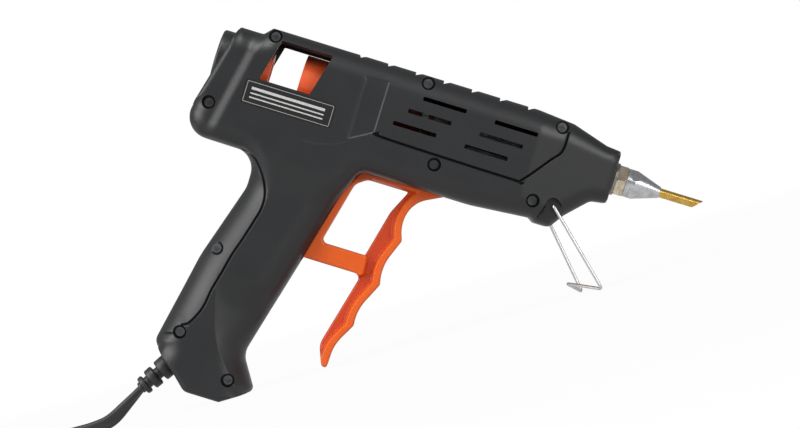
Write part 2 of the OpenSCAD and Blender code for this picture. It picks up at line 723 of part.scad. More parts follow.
// Feed
module inlet_collar() color(charcoal) placed()
    translate([collar_start - barrel_length, 0, 0]) difference() {
        rod_x(collar_d / 2, 0, collar_length);
        rod_x(guide_r, -eps, collar_length + eps);
        difference() {
            rod_x(collar_d, groove_at, groove_at + groove_width);
            rod_x(groove_r, groove_at - eps, groove_at + groove_width + eps);
        }
    }
module feed_carriage() color(carriage_red) placed() {
    start = carriage_start - barrel_length;
    stop = start + carriage_length;
    ring = carriage_ring_start - barrel_length;
    difference() {
        union() {
            rod_x(carriage_r, start, stop);
            rod_x(carriage_ring_r, ring, ring + carriage_ring_length);
            box([ring, -carriage_foot, -carriage_r], [stop, carriage_foot, -guide_r - 1]);
            each_side() box([start, 0, wing_low], [stop, wing_y, wing_high]);
            each_side() box([carriage_pin_x - 3, ear_inner, carriage_pin_z - 3],
                [carriage_pin_x + 3, ear_outer, -guide_r - 2]);
            translate([carriage_pin_x, 0, carriage_pin_z])
                rod_y(carriage_pin_d / 2, -ear_inner - 1, ear_inner + 1);
        }
        rod_x(guide_r, ring - eps, stop + eps);
        rod_x(washer_r + seat_gap, stop - washer_thickness - seat_gap, stop + eps);
    }
}
washer_r = guide_r + 3;
washer_thickness = 0.8;
module grip_washer() color(steel) placed() {
    stop = carriage_start + carriage_length - barrel_length;
    difference() {
        rod_x(washer_r, stop - washer_thickness, stop);
        rod_x(stick_r + stick_gap / 2, stop - washer_thickness - eps, stop + eps);
        for (turn = [0:45:135]) rotate([turn, 0, 0])
            box([stop - washer_thickness - eps, -guide_r - 1.4, -0.5], [stop + eps, guide_r + 1.4, 0.5]);
    }
}
module lever_arm(length, half_width, slot_from, slot_half)
    difference() {
        translate([-half_width, -lever_thickness / 2, 0]) cube([2 * half_width, lever_thickness, length]);
        translate([-slot_half, -far_out / 2, slot_from]) cube([2 * slot_half, far_out, length]);
    }
module feed_lever() color(orange) placed()
    at(pivot_at) rotate([0, -lever_angle, 0]) {
        link_half = link_d / 2 + slot_gap;
        pin_half = carriage_pin_d / 2 + slot_gap;
        difference() {
            union() {
                rod_y(lever_hub_r, -lever_thickness / 2, lever_thickness / 2);
                lever_arm(pin_rise / cos(lever_angle) + pin_half - 0.2, pin_half + lever_end_wall - 0.3,
                    pin_rise - pin_half, pin_half);
                rotate([0, 180, 0])
                    lever_arm(link_drop / cos(lever_angle) + link_half + 1, link_half + lever_end_wall,
                        link_drop - link_half, link_half);
            }
            rod_y(pivot_d / 2 + pin_gap, -far_out / 2, far_out / 2);
        }
    }
module lever_pin() color(steel) placed() at(pivot_at) rod_y(pivot_d / 2, -pivot_end, pivot_end);

// Trigger
module trigger() color(orange) placed()
    difference() {
        union() {
            difference() {
                side_prism(rounded(trigger_corners), trigger_width / 2);
                side_prism(rounded(trigger_opening), far_out / 2);
                each_side() translate([0, trigger_width / 2 - finger_recess, 0]) rotate([90, 0, 0])
                    translate([0, 0, -far_out]) linear_extrude(far_out)
                        polygon(rounded(finger_recess_corners));
            }
            each_side() {
                box([link_x, ear_inner, link_z - 3.6], [arm_at - barrel_length, ear_outer, link_z + 3.6]);
                translate([link_x, 0, link_z]) rod_y(3.6, ear_inner, ear_outer);
            }
            box(concat([spring_at[0]], [-bar_half_width], [bar_low - barrel_bottom]),
                [60 - barrel_length, bar_half_width, bar_high - barrel_bottom]);
            at(spring_at) rod_x(spring_d / 2 - spring_wire - spigot_gap, -spigot_length, 1);
        }
        translate([link_x, 0, link_z]) rod_y(link_d / 2 + seat_gap / 2, -far_out / 2, far_out / 2);
    }
module trigger_pin() color(steel) placed()
    translate([link_x, 0, link_z]) rod_y(link_d / 2, -ear_outer, ear_outer);

spring_steps = 8;
spring_rings = spring_steps * spring_turns;
spring_mean_r = (spring_d - spring_wire) / 2;
spring_path = [for (i = [0:spring_rings])
    let (a = 360 * i / spring_steps, s = i / spring_rings)
    [-seat_gap - spring_wire / 2 - s * (spring_rest - spring_wire - 2 * seat_gap),
     spring_mean_r * cos(a), spring_mean_r * sin(a)]];
module trigger_spring() color(steel) placed() at(spring_at)
    swept([for (i = [0:spring_rings])
        let (way = along(spring_path, i), out = unit([0, spring_path[i][1], spring_path[i][2]]))
        let (over = unit(cross(way, out)), square = cross(over, way))
        [for (k = [0:5]) spring_path[i] + spring_wire / 2 * (square * cos(60 * k) + over * sin(60 * k))]]);

// Melt chamber and heater
module inlet_sleeve() color(silicone) placed()
    difference() {
        rod_x(sleeve_d / 2, sleeve_start, sleeve_start + sleeve_length);
        rod_x(guide_r, sleeve_start - eps, sleeve_start + sleeve_length);
        rod_x(spigot_r + seat_gap, sleeve_start + sleeve_length - sleeve_overlap,
            sleeve_start + sleeve_length + eps);
    }
module sleeve_clip() color(steel) placed()
    difference() {
        rod_x(sleeve_d / 2 + seat_gap + clip_thickness, clip_start, clip_start + clip_width);
        rod_x(sleeve_d / 2 + seat_gap, clip_start - eps, clip_start + clip_width + eps);
    }
module melt_chamber() color(silver) placed()
    difference() {
        union() {
            rod_x(chamber_r, chamber_rear, chamber_front);
            rod_x(spigot_r, chamber_rear - sleeve_overlap + seat_gap, chamber_rear + 1);
            rod_x(neck_r, chamber_front - 1, washer_x);
            rod_x(thread_d / 2, 0, cone_x + thread_reach);
            box([heater_rear, -pocket_half_width - housing_wall, pack_middle - pocket_half - housing_wall],
                [heater_front, pocket_half_width + housing_wall, 0]);
        }
        rod_x(guide_r, chamber_rear - sleeve_overlap - 1, heater_front);
        translate([heater_front - eps, 0, 0]) rotate([0, 90, 0])
            cylinder(r1 = guide_r, r2 = spout_r, h = chamber_front - heater_front);
        rod_x(spout_r, chamber_front - 1, cone_x + thread_reach + 1);
        box([heater_rear - 1, -pocket_half_width, pack_middle - pocket_half],
            [heater_front + 1, pocket_half_width, pack_middle + pocket_half]);
    }
module heater_plate() color(ceramic) placed()
    box([heater_rear + 1, -heater_width / 2, pack_middle - heater_thickness / 2],
        [heater_front - 1, heater_width / 2, pack_middle + heater_thickness / 2]);
contact_middle = (heater_thickness + contact_thickness) / 2 + seat_gap;
module heater_contacts() color(brass) placed()
    for (side = [-1, 1]) translate([0, 0, pack_middle + side * contact_middle]) {
        box([heater_rear, -heater_width / 2, -contact_thickness / 2],
            [heater_front, heater_width / 2, contact_thickness / 2]);
        box([crimp_front, side * tab_y - tab_width / 2 * 0.9, -contact_thickness / 2],
            [heater_rear + 1, side * tab_y + tab_width / 2 * 0.9, contact_thickness / 2]);
    }
module heater_insulator() color(ceramic) placed()
    difference() {
        box([heater_rear - 0.6, -pack_half_width - film, pack_middle - pack_half - film],
            [heater_front + 0.6, pack_half_width + film, pack_middle + pack_half + film]);
        box([heater_rear - 2, -pack_half_width, pack_middle - pack_half],
            [heater_front + 2, pack_half_width, pack_middle + pack_half]);
    }
module lead_crimps() color(steel) placed()
    for (side = [-1, 1]) translate([0, side * tab_y, pack_middle + side * contact_middle])
        rod_x(crimp_r, crimp_front - crimp_length, crimp_front);
module round_tube(points, d, sides)
    swept([for (i = [0:len(points) - 1])
        let (way = lead_way(points, i), side = unit(cross([0.6, 0, 0.8], way)))
        let (up = cross(way, side))
        [for (k = [0:sides - 1])
            points[i] + d / 2 * (side * cos(360 * k / sides) + up * sin(360 * k / sides))]]);
tail_point = xy(relief_at) + relief_way * tail_end;
function lead_end(side, back) =
    [tail_point[0] - relief_way[0] * back, side * lead_d * 0.65, tail_point[1] - relief_way[1] * back];
function lead_start(side, back) =
    [crimp_front - crimp_length - back, side * tab_y, pack_middle + side * contact_middle];
function lead_route(side) = concat(
    [lead_start(side, seat_gap), lead_start(side, lead_d)],
    [[-79, side * 8, -11.5], [-92, side * 11, -12], low_point(74, side * 11, 13.2)],
    [low_point(54, side * 11.5, 4.2), low_point(38, side * 11.5, -6.8)],
    [low_point(31, side * 11, -25.8), low_point(29, side * 9, -53.8)],
    [lead_end(side, 2 * lead_d), lead_end(side, lead_d), lead_end(side, seat_gap)]
);
function lead_way(points, i) =
    let (n = len(points))
    i == 0 ? unit(points[1] - points[0]) : i == n - 1 ? unit(points[i] - points[i - 1]) : along(points, i);
module heater_leads() color("white") placed()
    for (side = [-1, 1]) round_tube(lead_route(side), lead_d, 8);

// Nozzle
thread_reach = 4.4;
module nozzle_washer() color(steel) placed()
    difference() {
        rod_x(neck_r + 0.4, washer_x, nut_x);
        rod_x(thread_d / 2 + seat_gap, washer_x - eps, nut_x + eps);
    }
module nozzle_nut() color(brass) placed()
    difference() {
        intersection() {
            translate([nut_x, 0, 0]) rotate([0, 90, 0]) rotate(30)
                cylinder(r = nut_across / 2 / cos(30), h = nut_length, $fn = 6);
            translate([nut_x, 0, 0]) rotate([0, 90, 0])
                cylinder(r1 = nut_across / 2 / cos(30) + nut_length * 0.6, r2 = nut_across / 2,
                    h = nut_length * 1.1);
        }
        rod_x(thread_d / 2 + seat_gap, nut_x - eps, cone_x + eps);
    }
cone_tip_r = needle_d / 2 + 0.5;
cone_land = 4.6;
module nozzle_cone() color(silver) placed()
    difference() {
        union() {
            rod_x(cone_d / 2, cone_x, cone_x + cone_land);
            translate([cone_x + cone_land, 0, 0]) rotate([0, 90, 0])
                cylinder(r1 = cone_d / 2, r2 = cone_tip_r, h = cone_length - cone_land);
        }
        rod_x(thread_d / 2 + seat_gap, cone_x - eps, cone_x + thread_reach + seat_gap);
        rod_x(spout_r, cone_x, cone_x + thread_reach + 1.5);
        rod_x(needle_bore / 2, cone_x, cone_end + eps);
        rod_x(needle_d / 2 + seat_gap, cone_end - needle_hold, cone_end + eps);
        for (turn = [45:90:315]) rotate([turn, 0, 0])
            box([cone_x + 2.4, -far_out / 2, cone_d / 2 - 0.9], [cone_end - 4, far_out / 2, far_out / 2]);
    }
needle_hold = 4;
module needle_tube() color(brass) placed()
    difference() {
        rod_x(needle_d / 2, cone_end - needle_hold, needle_end);
        rod_x(needle_bore / 2, cone_end - needle_hold - eps, needle_end + eps);
        translate([needle_end, 0, needle_d / 2]) rotate([0, 45, 0])
            box([0, -far_out / 2, -far_out], [far_out, far_out / 2, far_out]);
    }

// Stand
module wire(from, to) {
    way = to - from;
    translate(from) rotate([0, acos(way[2] / norm(way)), atan2(way[1], way[0])])
        cylinder(r = wire_r, h = norm(way), $fn = 24);
}
module wire_stand() color(steel) placed() {
    near = [near_corner[0], -leg_half_gap, near_corner[1]];
    middle = [foot_middle[0], 0, foot_middle[1]];
    far = [far_corner[0], leg_half_gap, far_corner[1]];
    crank = [far_crank[0], leg_half_gap, far_crank[1]];
    near_top = [stand_at[0], -leg_half_gap, stand_at[1]];
    far_top = [stand_at[0], leg_half_gap, stand_at[1]];
    route = [near_top + [0, leg_half_gap - stand_end, 0], near_top, near, middle, far, crank, far_top,
        far_top - [0, leg_half_gap - stand_end, 0]];
    for (i = [0:len(route) - 2]) wire(route[i], route[i + 1]);
    for (i = [1:len(route) - 2]) translate(route[i]) sphere(r = bend_r, $fn = 24);
}

// Strain relief and cord
module strain_relief() color(black) placed() at_relief() rotate_extrude() polygon([
    [0, -relief_inside], [relief_d / 2 + 1.2, -relief_inside], [relief_d / 2 + 1.2, -relief_neck],
    [relief_d / 2 - 0.6, -relief_neck], [relief_d / 2 - 0.6, 0.2], [relief_d / 2, 0.2], [relief_d / 2, 4.7],
    [relief_core_r, 4.7], [relief_core_r, 6.6], [relief_d / 2 - 0.5, 6.6], [relief_d / 2 - 0.5, 9.4],
    [relief_core_r, 9.4], [relief_core_r, 11.2], [relief_d / 2 - 0.7, 11.2], [relief_d / 2 - 0.7, 13],
    [relief_core_r, 13], [relief_core_r, relief_length], [0, relief_length]
]);
module flat_bar(from, to)
    translate([0, 0, from]) linear_extrude(to - from) {
        square([cord_thickness, cord_width - cord_thickness], center = true);
        for (s = [-1, 1])
            translate([0, s * (cord_width - cord_thickness) / 2]) circle(r = cord_thickness / 2);
    }
module cord_tail() color(black) placed() at_relief() flat_bar(tail_end, -relief_inside);
module cord_clamp() color(charcoal) placed() at_relief()
    difference() {
        box([cord_thickness / 2, -clamp_half_width, clamp_from],
            [cord_thickness / 2 + clamp_bar, clamp_half_width, clamp_to]);
        for (s = [-1, 1]) translate([0, s * clamp_screw_y, clamp_middle])
            rotate([0, 90, 0]) cylinder(r = clamp_screw_d / 2 + screw_hole_gap, h = 20);
    }
module clamp_screws() color(steel) placed() at_relief()
    for (s = [-1, 1]) translate([cord_thickness / 2 + clamp_bar, s * clamp_screw_y, clamp_middle])
        rotate([0, 0, 90])
            screw(clamp_screw_d / 2, clamp_screw_d, 1.4, clamp_bar + cord_thickness + pad_depth - 0.5);

function cord_ring_way(i) =
    i == 0 ? cord_way : i == len(cord_route) - 1 ? [-1, 0, 0] : along(cord_route, i);
module cord() color(black)
    swept([for (i = [0:len(cord_route) - 1])
        let (twist = 90 * min(1, 0.42 * i))
        flat_ring(cord_route[i], cord_ring_way(i),
            cord_width, cord_thickness, 8, twist)]);

// The hank winds in on the floor, climbs along a straight run and winds out again above
fold_count = 2 * layer_folds;
function fold_radius(f, share) =
    f < layer_folds ? hank_outer_r - turn_pitch * (f + share) / 2 :
    fold_r + turn_pitch * (f - layer_folds + share) / 2;
function fold_point(f, j) =
    let (r = fold_radius(f, j / fold_steps), a = 90 + 180 * f + 180 * j / fold_steps)
    [(f % 2 == 0 ? far_fold : near_fold) + r * cos(a), r * sin(a), f < layer_folds ? coil_low : coil_high];
coil_path = concat(
    [[near_fold, hank_outer_r, coil_low]],
    [for (f = [0:fold_count - 1], j = [0:f < fold_count - 1 ? fold_steps : fold_steps / 2]) fold_point(f, j)]
);
function coil_way(i) =
    i == 0 ? [-1, 0, 0] : i == len(coil_path) - 1 ? [0, 1, 0] : along(coil_path, i);
module cord_coil() color(black)
    swept([for (i = [0:len(coil_path) - 1])
        flat_ring(coil_path[i], coil_way(i), cord_width, cord_thickness, 6, 90)]);
function end_way(i) =
    i == 0 ? [0, 1, 0] : i == len(end_route) - 1 ? [-1, 0, 0] : along(end_route, i);
module cord_end() color(black)
    swept([for (i = [0:len(end_route) - 1])
        flat_ring(end_route[i], end_way(i), cord_width, cord_thickness, 8, 90)]);
module cord_tie() color(black) {
    tie_in = fold_r - cord_thickness / 2 - tie_gap;
    tie_out = hank_outer_r - turn_pitch / 2 + cord_thickness / 2 + tie_gap;
    inside = [tie_out - tie_in, layer_pitch + cord_width + 2 * tie_gap];
    translate([(near_fold + far_fold) / 2, -(tie_in + tie_out) / 2, (coil_low + coil_high) / 2])
        rotate([90, 0, 90]) linear_extrude(tie_width, center = true) difference() {
            square(inside + 2 * tie_thickness * [1, 1], center = true);
            square(inside, center = true);
        }
}
module plug_body() color(black)
    translate(plug_entry) rotate([0, -90, 0]) difference() {
        union() {
            cylinder(r1 = cord_width / 2 + 1, r2 = plug_half_height * 0.86, h = plug_length * 0.45);
            translate([0, 0, plug_length * 0.4]) linear_extrude(plug_length * 0.6)
                polygon(rounded(rectangle(-plug_half_height, plug_half_height, -plug_width / 2,
                    plug_width / 2, 4)));
        }
        for (s = [-1, 1]) translate([0, s * blade_half_gap, plug_length - blade_hold])
            linear_extrude(blade_hold + 1)
                square([blade_width, blade_thickness] + 2 * seat_gap * [1, 1], center = true);
    }
blade_half_gap = 6.35;
blade_width = 6.35;
blade_thickness = 1.5;
blade_hold = 8;
module plug_blades() color(brass)
    translate(plug_entry) rotate([0, -90, 0])
        for (s = [-1, 1]) translate([0, s * blade_half_gap, plug_length - blade_hold])
            linear_extrude(blade_hold + blade_length) square([blade_width, blade_thickness], center = true);

echo(hank_gap_least = least_gap(coil_path, fold_steps + 2));

right_casing();
left_casing();
casing_screws();
rating_label();
inlet_collar();
feed_carriage();
grip_washer();
feed_lever();
lever_pin();
trigger();
trigger_pin();
trigger_spring();
inlet_sleeve();
sleeve_clip();
melt_chamber();
heater_plate();
heater_contacts();
heater_insulator();
lead_crimps();
heater_leads();
nozzle_washer();
nozzle_nut();
nozzle_cone();
needle_tube();
wire_stand();
strain_relief();
cord_tail();
cord_clamp();
clamp_screws();
cord();
cord_coil();
cord_end();
cord_tie();
plug_body();
plug_blades();
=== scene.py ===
"""Looks of a hot glue applicator with a needle nozzle, leaning on its grip's toe and its wire stand.

Every piece of the gun is worked out in millimetres in the gun's own frame: x runs forward along the
nozzle's axis from the casing's front face, z is up, and y = 0 is the split between the casing's halves.
The stance then leans it on the floor in the row frame. The cord on the floor is worked out in millimetres
of the row frame.
"""

from __future__ import annotations

import functools
import logging
import math
from dataclasses import dataclass, field
from enum import Enum

import bmesh
import bpy
import numpy as np
from mathutils import Matrix
from mathutils.geometry import delaunay_2d_cdt


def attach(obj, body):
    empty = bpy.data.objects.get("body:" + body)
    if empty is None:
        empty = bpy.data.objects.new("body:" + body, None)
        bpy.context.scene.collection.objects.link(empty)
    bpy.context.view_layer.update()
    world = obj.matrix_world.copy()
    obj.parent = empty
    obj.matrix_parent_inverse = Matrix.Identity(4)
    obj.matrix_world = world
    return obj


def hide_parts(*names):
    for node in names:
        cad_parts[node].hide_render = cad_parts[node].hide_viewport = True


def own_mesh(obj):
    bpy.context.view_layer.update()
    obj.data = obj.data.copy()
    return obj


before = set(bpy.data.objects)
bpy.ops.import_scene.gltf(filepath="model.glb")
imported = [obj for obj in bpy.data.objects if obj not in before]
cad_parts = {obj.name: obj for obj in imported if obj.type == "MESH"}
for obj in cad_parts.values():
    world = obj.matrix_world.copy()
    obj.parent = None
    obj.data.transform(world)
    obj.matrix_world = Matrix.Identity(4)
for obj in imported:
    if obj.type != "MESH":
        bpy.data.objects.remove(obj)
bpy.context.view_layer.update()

Array = np.ndarray
Point = tuple[float, ...]
LOG = logging.getLogger("applicator")
MILLIMETRE = 0.001
TABLE_LIMIT = 1_500_000
CORNERS = ((-1, -1), (1, -1), (1, 1), (-1, 1))
REAR_LOW = (180.0, 30.2)


class Side(Enum):
    """The casing's two halves, with the sign of y on which each lies."""

    RIGHT = -1
    LEFT = 1


class Rides(Enum):
    """The bodies of the moving model that pieces ride on."""

    CASING = "body"
    TRIGGER = "trigger"
    STAND = "stand"


# Plane geometry on whole arrays


def smooth(t: Array) -> Array:
    """Ease from 0 at t = 0 to 1 at t = 1, as three t squared less two t cubed."""
    t = np.clip(t, 0.0, 1.0)
    return t * t * (3.0 - 2.0 * t)


def quarter(gap: Array, radius: Array | float) -> Array:
    """What a quarter circle of a radius takes off at each distance from an edge."""
    k = np.clip(1.0 - gap / radius, 0.0, 1.0)
    return radius * (1.0 - np.sqrt(1.0 - k * k))


def bowed(values: Array, power: Array | float) -> Array:
    """Values raised to a power, with their signs kept."""
    return np.sign(values) * np.abs(values) ** power


def unit(vectors: Array) -> Array:
    """Vectors divided by their lengths, along the last axis."""
    return vectors / np.maximum(np.linalg.norm(vectors, axis=-1, keepdims=True), 1e-12)


def closed(loop: Array) -> tuple[Array, Array]:
    """Starts and stops of the segments of a closed loop."""
    return loop, np.roll(loop, -1, axis=0)


def opened(path: Array) -> tuple[Array, Array]:
    """Starts and stops of the segments of an open path."""
    return path[:-1], path[1:]


def blocks(points: Array, width: int) -> list[Array]:
    """Points cut into runs that keep a table against width columns small."""
    return np.array_split(points, len(points) * width // TABLE_LIMIT + 1)


def segment_distance(points: Array, starts: Array, stops: Array) -> Array:
    """Least distance from each point to a set of segments.

    The foot of each perpendicular is held between its segment's ends, and the least of the lengths is kept.

    Args:
        points: places in the plane, one a row.
        starts: first ends of the segments.
        stops: second ends of the segments.

    Returns:
        One distance for each point.
    """
    way = stops - starts
    size = np.maximum((way**2).sum(1), 1e-12)

    def least(some: Array) -> Array:
        """Least distance for one run of points."""
        gap = some[:, None, :] - starts
        share = np.clip((gap * way).sum(2) / size, 0.0, 1.0)
        return np.sqrt(((gap - share[..., None] * way) ** 2).sum(2)).min(1)

    return np.concatenate([least(some) for some in blocks(points, len(starts))])


def inside(points: Array, loop: Array) -> Array:
    """Whether each point lies in a closed loop: a level ray from it crosses the loop an odd number of times.

    Args:
        points: places in the plane, one a row.
        loop: the loop's points in order.

    Returns:
        One truth value for each point.
    """
    a, b = closed(loop)
    rise = np.where(a[:, 1] == b[:, 1], 1.0, b[:, 1] - a[:, 1])

    def odd(some: Array) -> Array:
        """Parity of the crossings for one run of points."""
        level = some[:, 1, None]
        spans = (a[:, 1] > level) != (b[:, 1] > level)
        meets = a[:, 0] + (level - a[:, 1]) * (b[:, 0] - a[:, 0]) / rise
        return (spans & (some[:, 0, None] < meets)).sum(1) % 2 == 1

    return np.concatenate([odd(some) for some in blocks(points, len(a))])


def depth_in(points: Array, loop: Array) -> Array:
    """Distance from each point to a closed loop, less than zero outside it."""
    return np.where(inside(points, loop), 1.0, -1.0) * segment_distance(points, *closed(loop))


def cells(index: Array) -> Array:
    """The four corners of every cell in a grid of point numbers, one cell a row."""
    return np.stack([index[:-1, :-1], index[1:, :-1], index[1:, 1:], index[:-1, 1:]], -1).reshape(-1, 4)


def hexes(low: Point, high: Point, step: float) -> Array:
    """Points of a triangular lattice over a rectangle: every second row is moved by half a step.

    Args:
        low: lower corner of the rectangle.
        high: upper corner of the rectangle.
        step: distance between neighbours.

    Returns:
        The lattice's points, one a row.
    """
    rows = np.arange(low[1], high[1], step * math.sqrt(0.75))
    columns = np.arange(low[0], high[0], step)
    x = columns[None, :] + (np.arange(len(rows)) % 2)[:, None] * step / 2
    return np.stack([x, np.broadcast_to(rows[:, None], x.shape)], -1).reshape(-1, 2)


def rows_beside(path: Array, offsets: Point, step: float) -> Array:
    """Points in rows beside a path: even steps along each segment, moved by each offset to its left.

    Args:
        path: corners of the path.
        offsets: distances to the left.
        step: distance between points of a row.

    Returns:
        The rows' points, one a row.
    """
    starts, stops = opened(path)
    length = np.linalg.norm(stops - starts, axis=1)
    along = np.concatenate([[0.0], np.cumsum(length)])
    at = np.linspace(0.0, along[-1], max(2, int(along[-1] / step)))
    line = np.stack([np.interp(at, along, path[:, k]) for k in (0, 1)], -1)
    way = unit(np.gradient(line, axis=0))
    left = np.stack([-way[:, 1], way[:, 0]], -1)
    return (line[None] + np.array(offsets)[:, None, None] * left[None]).reshape(-1, 2)


def angles(count: int) -> Array:
    """Even angles round a circle, the first of them 0."""
    return np.linspace(0.0, 2 * np.pi, count, endpoint=False)


def circle(centre: Point, radius: float, count: int) -> Array:
    """Points round a circle."""
    angle = angles(count)
    return np.array(centre) + radius * np.stack([np.cos(angle), np.sin(angle)], -1)


def fill(loops: list[Array], scatter: Array) -> tuple[Array, Array]:
    """Triangles inside the first loop and outside the others, over the loops' and the scattered points.

    The loops' edges are held in a Delaunay triangulation, and triangles are kept by where their middles lie.

    Args:
        loops: closed outlines, the outer one first.
        scatter: further points to use.

    Returns:
        Points in the plane, and triangles as rows of three indices.
    """
    fresh = [loop[np.linalg.norm(loop - np.roll(loop, 1, axis=0), axis=1) > 1e-4] for loop in loops]
    first = np.cumsum([0] + [len(loop) for loop in fresh])
    edges = [start + np.stack([np.arange(len(loop)), np.roll(np.arange(len(loop)), -1)], -1)
             for start, loop in zip(first, fresh)]
    made = delaunay_2d_cdt(
        np.concatenate(fresh + [scatter]).tolist(), np.concatenate(edges).tolist(), [], 0, 1e-5
    )
    points, triangles = np.array(made[0], float).reshape(-1, 2), np.array(made[2], int).reshape(-1, 3)
    middle = points[triangles].mean(1)
    kept = inside(middle, fresh[0])
    for hole in fresh[1:]:
        kept &= ~inside(middle, hole)
    return points, triangles[kept]


@dataclass(frozen=True)
class Outline:
    """Corners of a closed outline, anticlockwise, each given as x, z and the radius that rounds it."""

    corners: tuple[Point, ...]

    def arcs(self, inset: float) -> tuple[Array, Array, Array, Array]:
        """Arcs that round the corners, after every side is moved inward.

        A corner moves along the sum of its sides' inward normals, and the arc's middle lies on the same line.

        Args:
            inset: how far each side moves inward.

        Returns:
            The arcs' middles, radii, first angles and turns.
        """
        corner = np.array(self.corners)
        way_in = unit(corner[:, :2] - np.roll(corner[:, :2], 1, axis=0))
        way_out = np.roll(way_in, -1, axis=0)
        left_in, left_out = (np.stack([-w[:, 1], w[:, 0]], -1) for w in (way_in, way_out))
        both = (left_in + left_out) / (1.0 + (left_in * left_out).sum(1))[:, None]
        turn = np.arctan2(
            way_in[:, 0] * way_out[:, 1] - way_in[:, 1] * way_out[:, 0], (way_in * way_out).sum(1)
        )
        hand = np.where(turn > 0, 1.0, -1.0)
        given = corner[:, 2]
        radius = np.where(turn > 0, np.maximum(given - inset, np.minimum(given, 0.4)), given + inset)
        middle = corner[:, :2] + both * (inset + hand * radius)[:, None]
        first = np.arctan2(-hand * left_in[:, 1], -hand * left_in[:, 0])
        return middle, radius, first, turn

    def trace(
        self, step: float, inset: float = 0.0, marks: dict[int, Array] | None = None,
    ) -> tuple[Array, ...]:
        """Points round the outline, with the same count and order at every inset.

        Args:
            step: longest distance between points of the outline that isn't moved.
            inset: how far each side moves inward.
            marks: for a side's number, rows of the share along it and a value, used in place of even steps.

        Returns:
            The points, the value at each point, and its owner: i for the arc at corner i, i + 0.5 for the
            side that follows it.
        """
        middle, radius, first, turn = self.arcs(inset)
        plain_middle, plain_radius, plain_first, _ = self.arcs(0.0)

        def arc_end(m: Array, r: Array, angle: Array) -> Array:
            """Points of the arcs at given angles."""
            return m + r[:, None] * np.stack([np.cos(angle), np.sin(angle)], -1)

        gap = np.roll(arc_end(plain_middle, plain_radius, plain_first), -1, axis=0) - arc_end(
            plain_middle, plain_radius, plain_first + turn
        )
        pieces = np.maximum(np.ceil(np.linalg.norm(gap, axis=1) / step), 1).astype(int)
        bends = np.clip(np.ceil(np.abs(turn) * np.maximum(plain_radius / step, 5.0)), 2, 60).astype(int)
        begin, end = arc_end(middle, radius, first), arc_end(middle, radius, first + turn)
        points, values, owners = [], [], []
        for i, count in enumerate(bends):
            angle = first[i] + turn[i] * np.linspace(0.0, 1.0, count + 1)
            points.append(middle[i] + radius[i] * np.stack([np.cos(angle), np.sin(angle)], -1))
            values.append(np.zeros(count + 1))
            owners.append(np.where(np.arange(count + 1) < count, i, i + 0.5))
            even = np.arange(1, pieces[i]) / pieces[i]
            mark = (marks or {}).get(i, np.stack([even, 0 * even], -1))
            follow = begin[(i + 1) % len(begin)]
            points.append(end[i] + mark[:, :1] * (follow - end[i]))
            values.append(mark[:, 1])
            owners.append(np.full(len(mark), i + 0.5))
        return np.concatenate(points), np.concatenate(values), np.concatenate(owners)

    def loop(self, step: float, inset: float = 0.0) -> Array:
        """Points round the outline."""
        return self.trace(step, inset)[0]


def rectangle(middle: Point, half: Point, corner: float) -> Outline:
    """A rectangle with rounded corners."""
    return Outline(tuple((middle[0] + s * half[0], middle[1] + t * half[1], corner) for s, t in CORNERS))


# Paths and surfaces in space


def spline(points: Array, per: int) -> Array:
    """Smooth path through points: each span's cubic has half the neighbours' difference as its end slopes.

    Args:
        points: places that the path goes through, one a row, with any number of columns.
        per: steps in each span.

    Returns:
        The path's points.
    """
    padded = np.concatenate([2 * points[:1] - points[1:2], points, 2 * points[-1:] - points[-2:-1]])
    a, b, c, d = (padded[k:len(padded) - 3 + k, None, :] for k in range(4))
    t = (np.arange(per) / per)[None, :, None]
    path = 0.5 * (2 * b + (c - a) * t + (2 * a - 5 * b + 4 * c - d) * t**2 + (3 * b - a - 3 * c + d) * t**3)
    return np.concatenate([path.reshape(-1, points.shape[1]), points[-1:]])


def bent(points: Array, reach: float, per: int) -> Array:
    """Straight runs joined by bends: each corner becomes the parabola that touches its runs at a given reach.

    Args:
        points: corners of the path, one a row.
        reach: distance from a corner to where its bend begins.
        per: steps in each bend.

    Returns:
        The path's points.
    """
    a, b, c = points[:-2], points[1:-1], points[2:]
    held = np.minimum(reach, 0.45 * np.minimum(*(np.linalg.norm(v - b, axis=1) for v in (a, c))))[:, None]
    start, stop = b + unit(a - b) * held, b + unit(c - b) * held
    t = np.linspace(0.0, 1.0, per + 1)[None, :, None]
    bend = (1 - t) ** 2 * start[:, None] + 2 * t * (1 - t) * b[:, None] + t**2 * stop[:, None]
    return np.concatenate([points[:1], bend.reshape(-1, 3), points[-1:]])


def ways(path: Array) -> Array:
    """Unit directions along a path, from central differences."""
    return unit(np.gradient(path, axis=0))


def turned(profile: Array, sides: int) -> Array:
    """Places of a profile turned about the x axis: y = r cos a and z = r sin a.

    Args:
        profile: rows of x and r, or x and r at every row and angle.
        sides: steps round the axis.

    Returns:
        The places, in rows and columns.
    """
    angle = angles(sides)
    form = profile if profile.ndim == 3 else np.broadcast_to(profile[:, None], (len(profile), sides, 2))
    x, r = form[..., 0], form[..., 1]
    return np.stack([x, r * np.cos(angle), r * np.sin(angle)], -1)


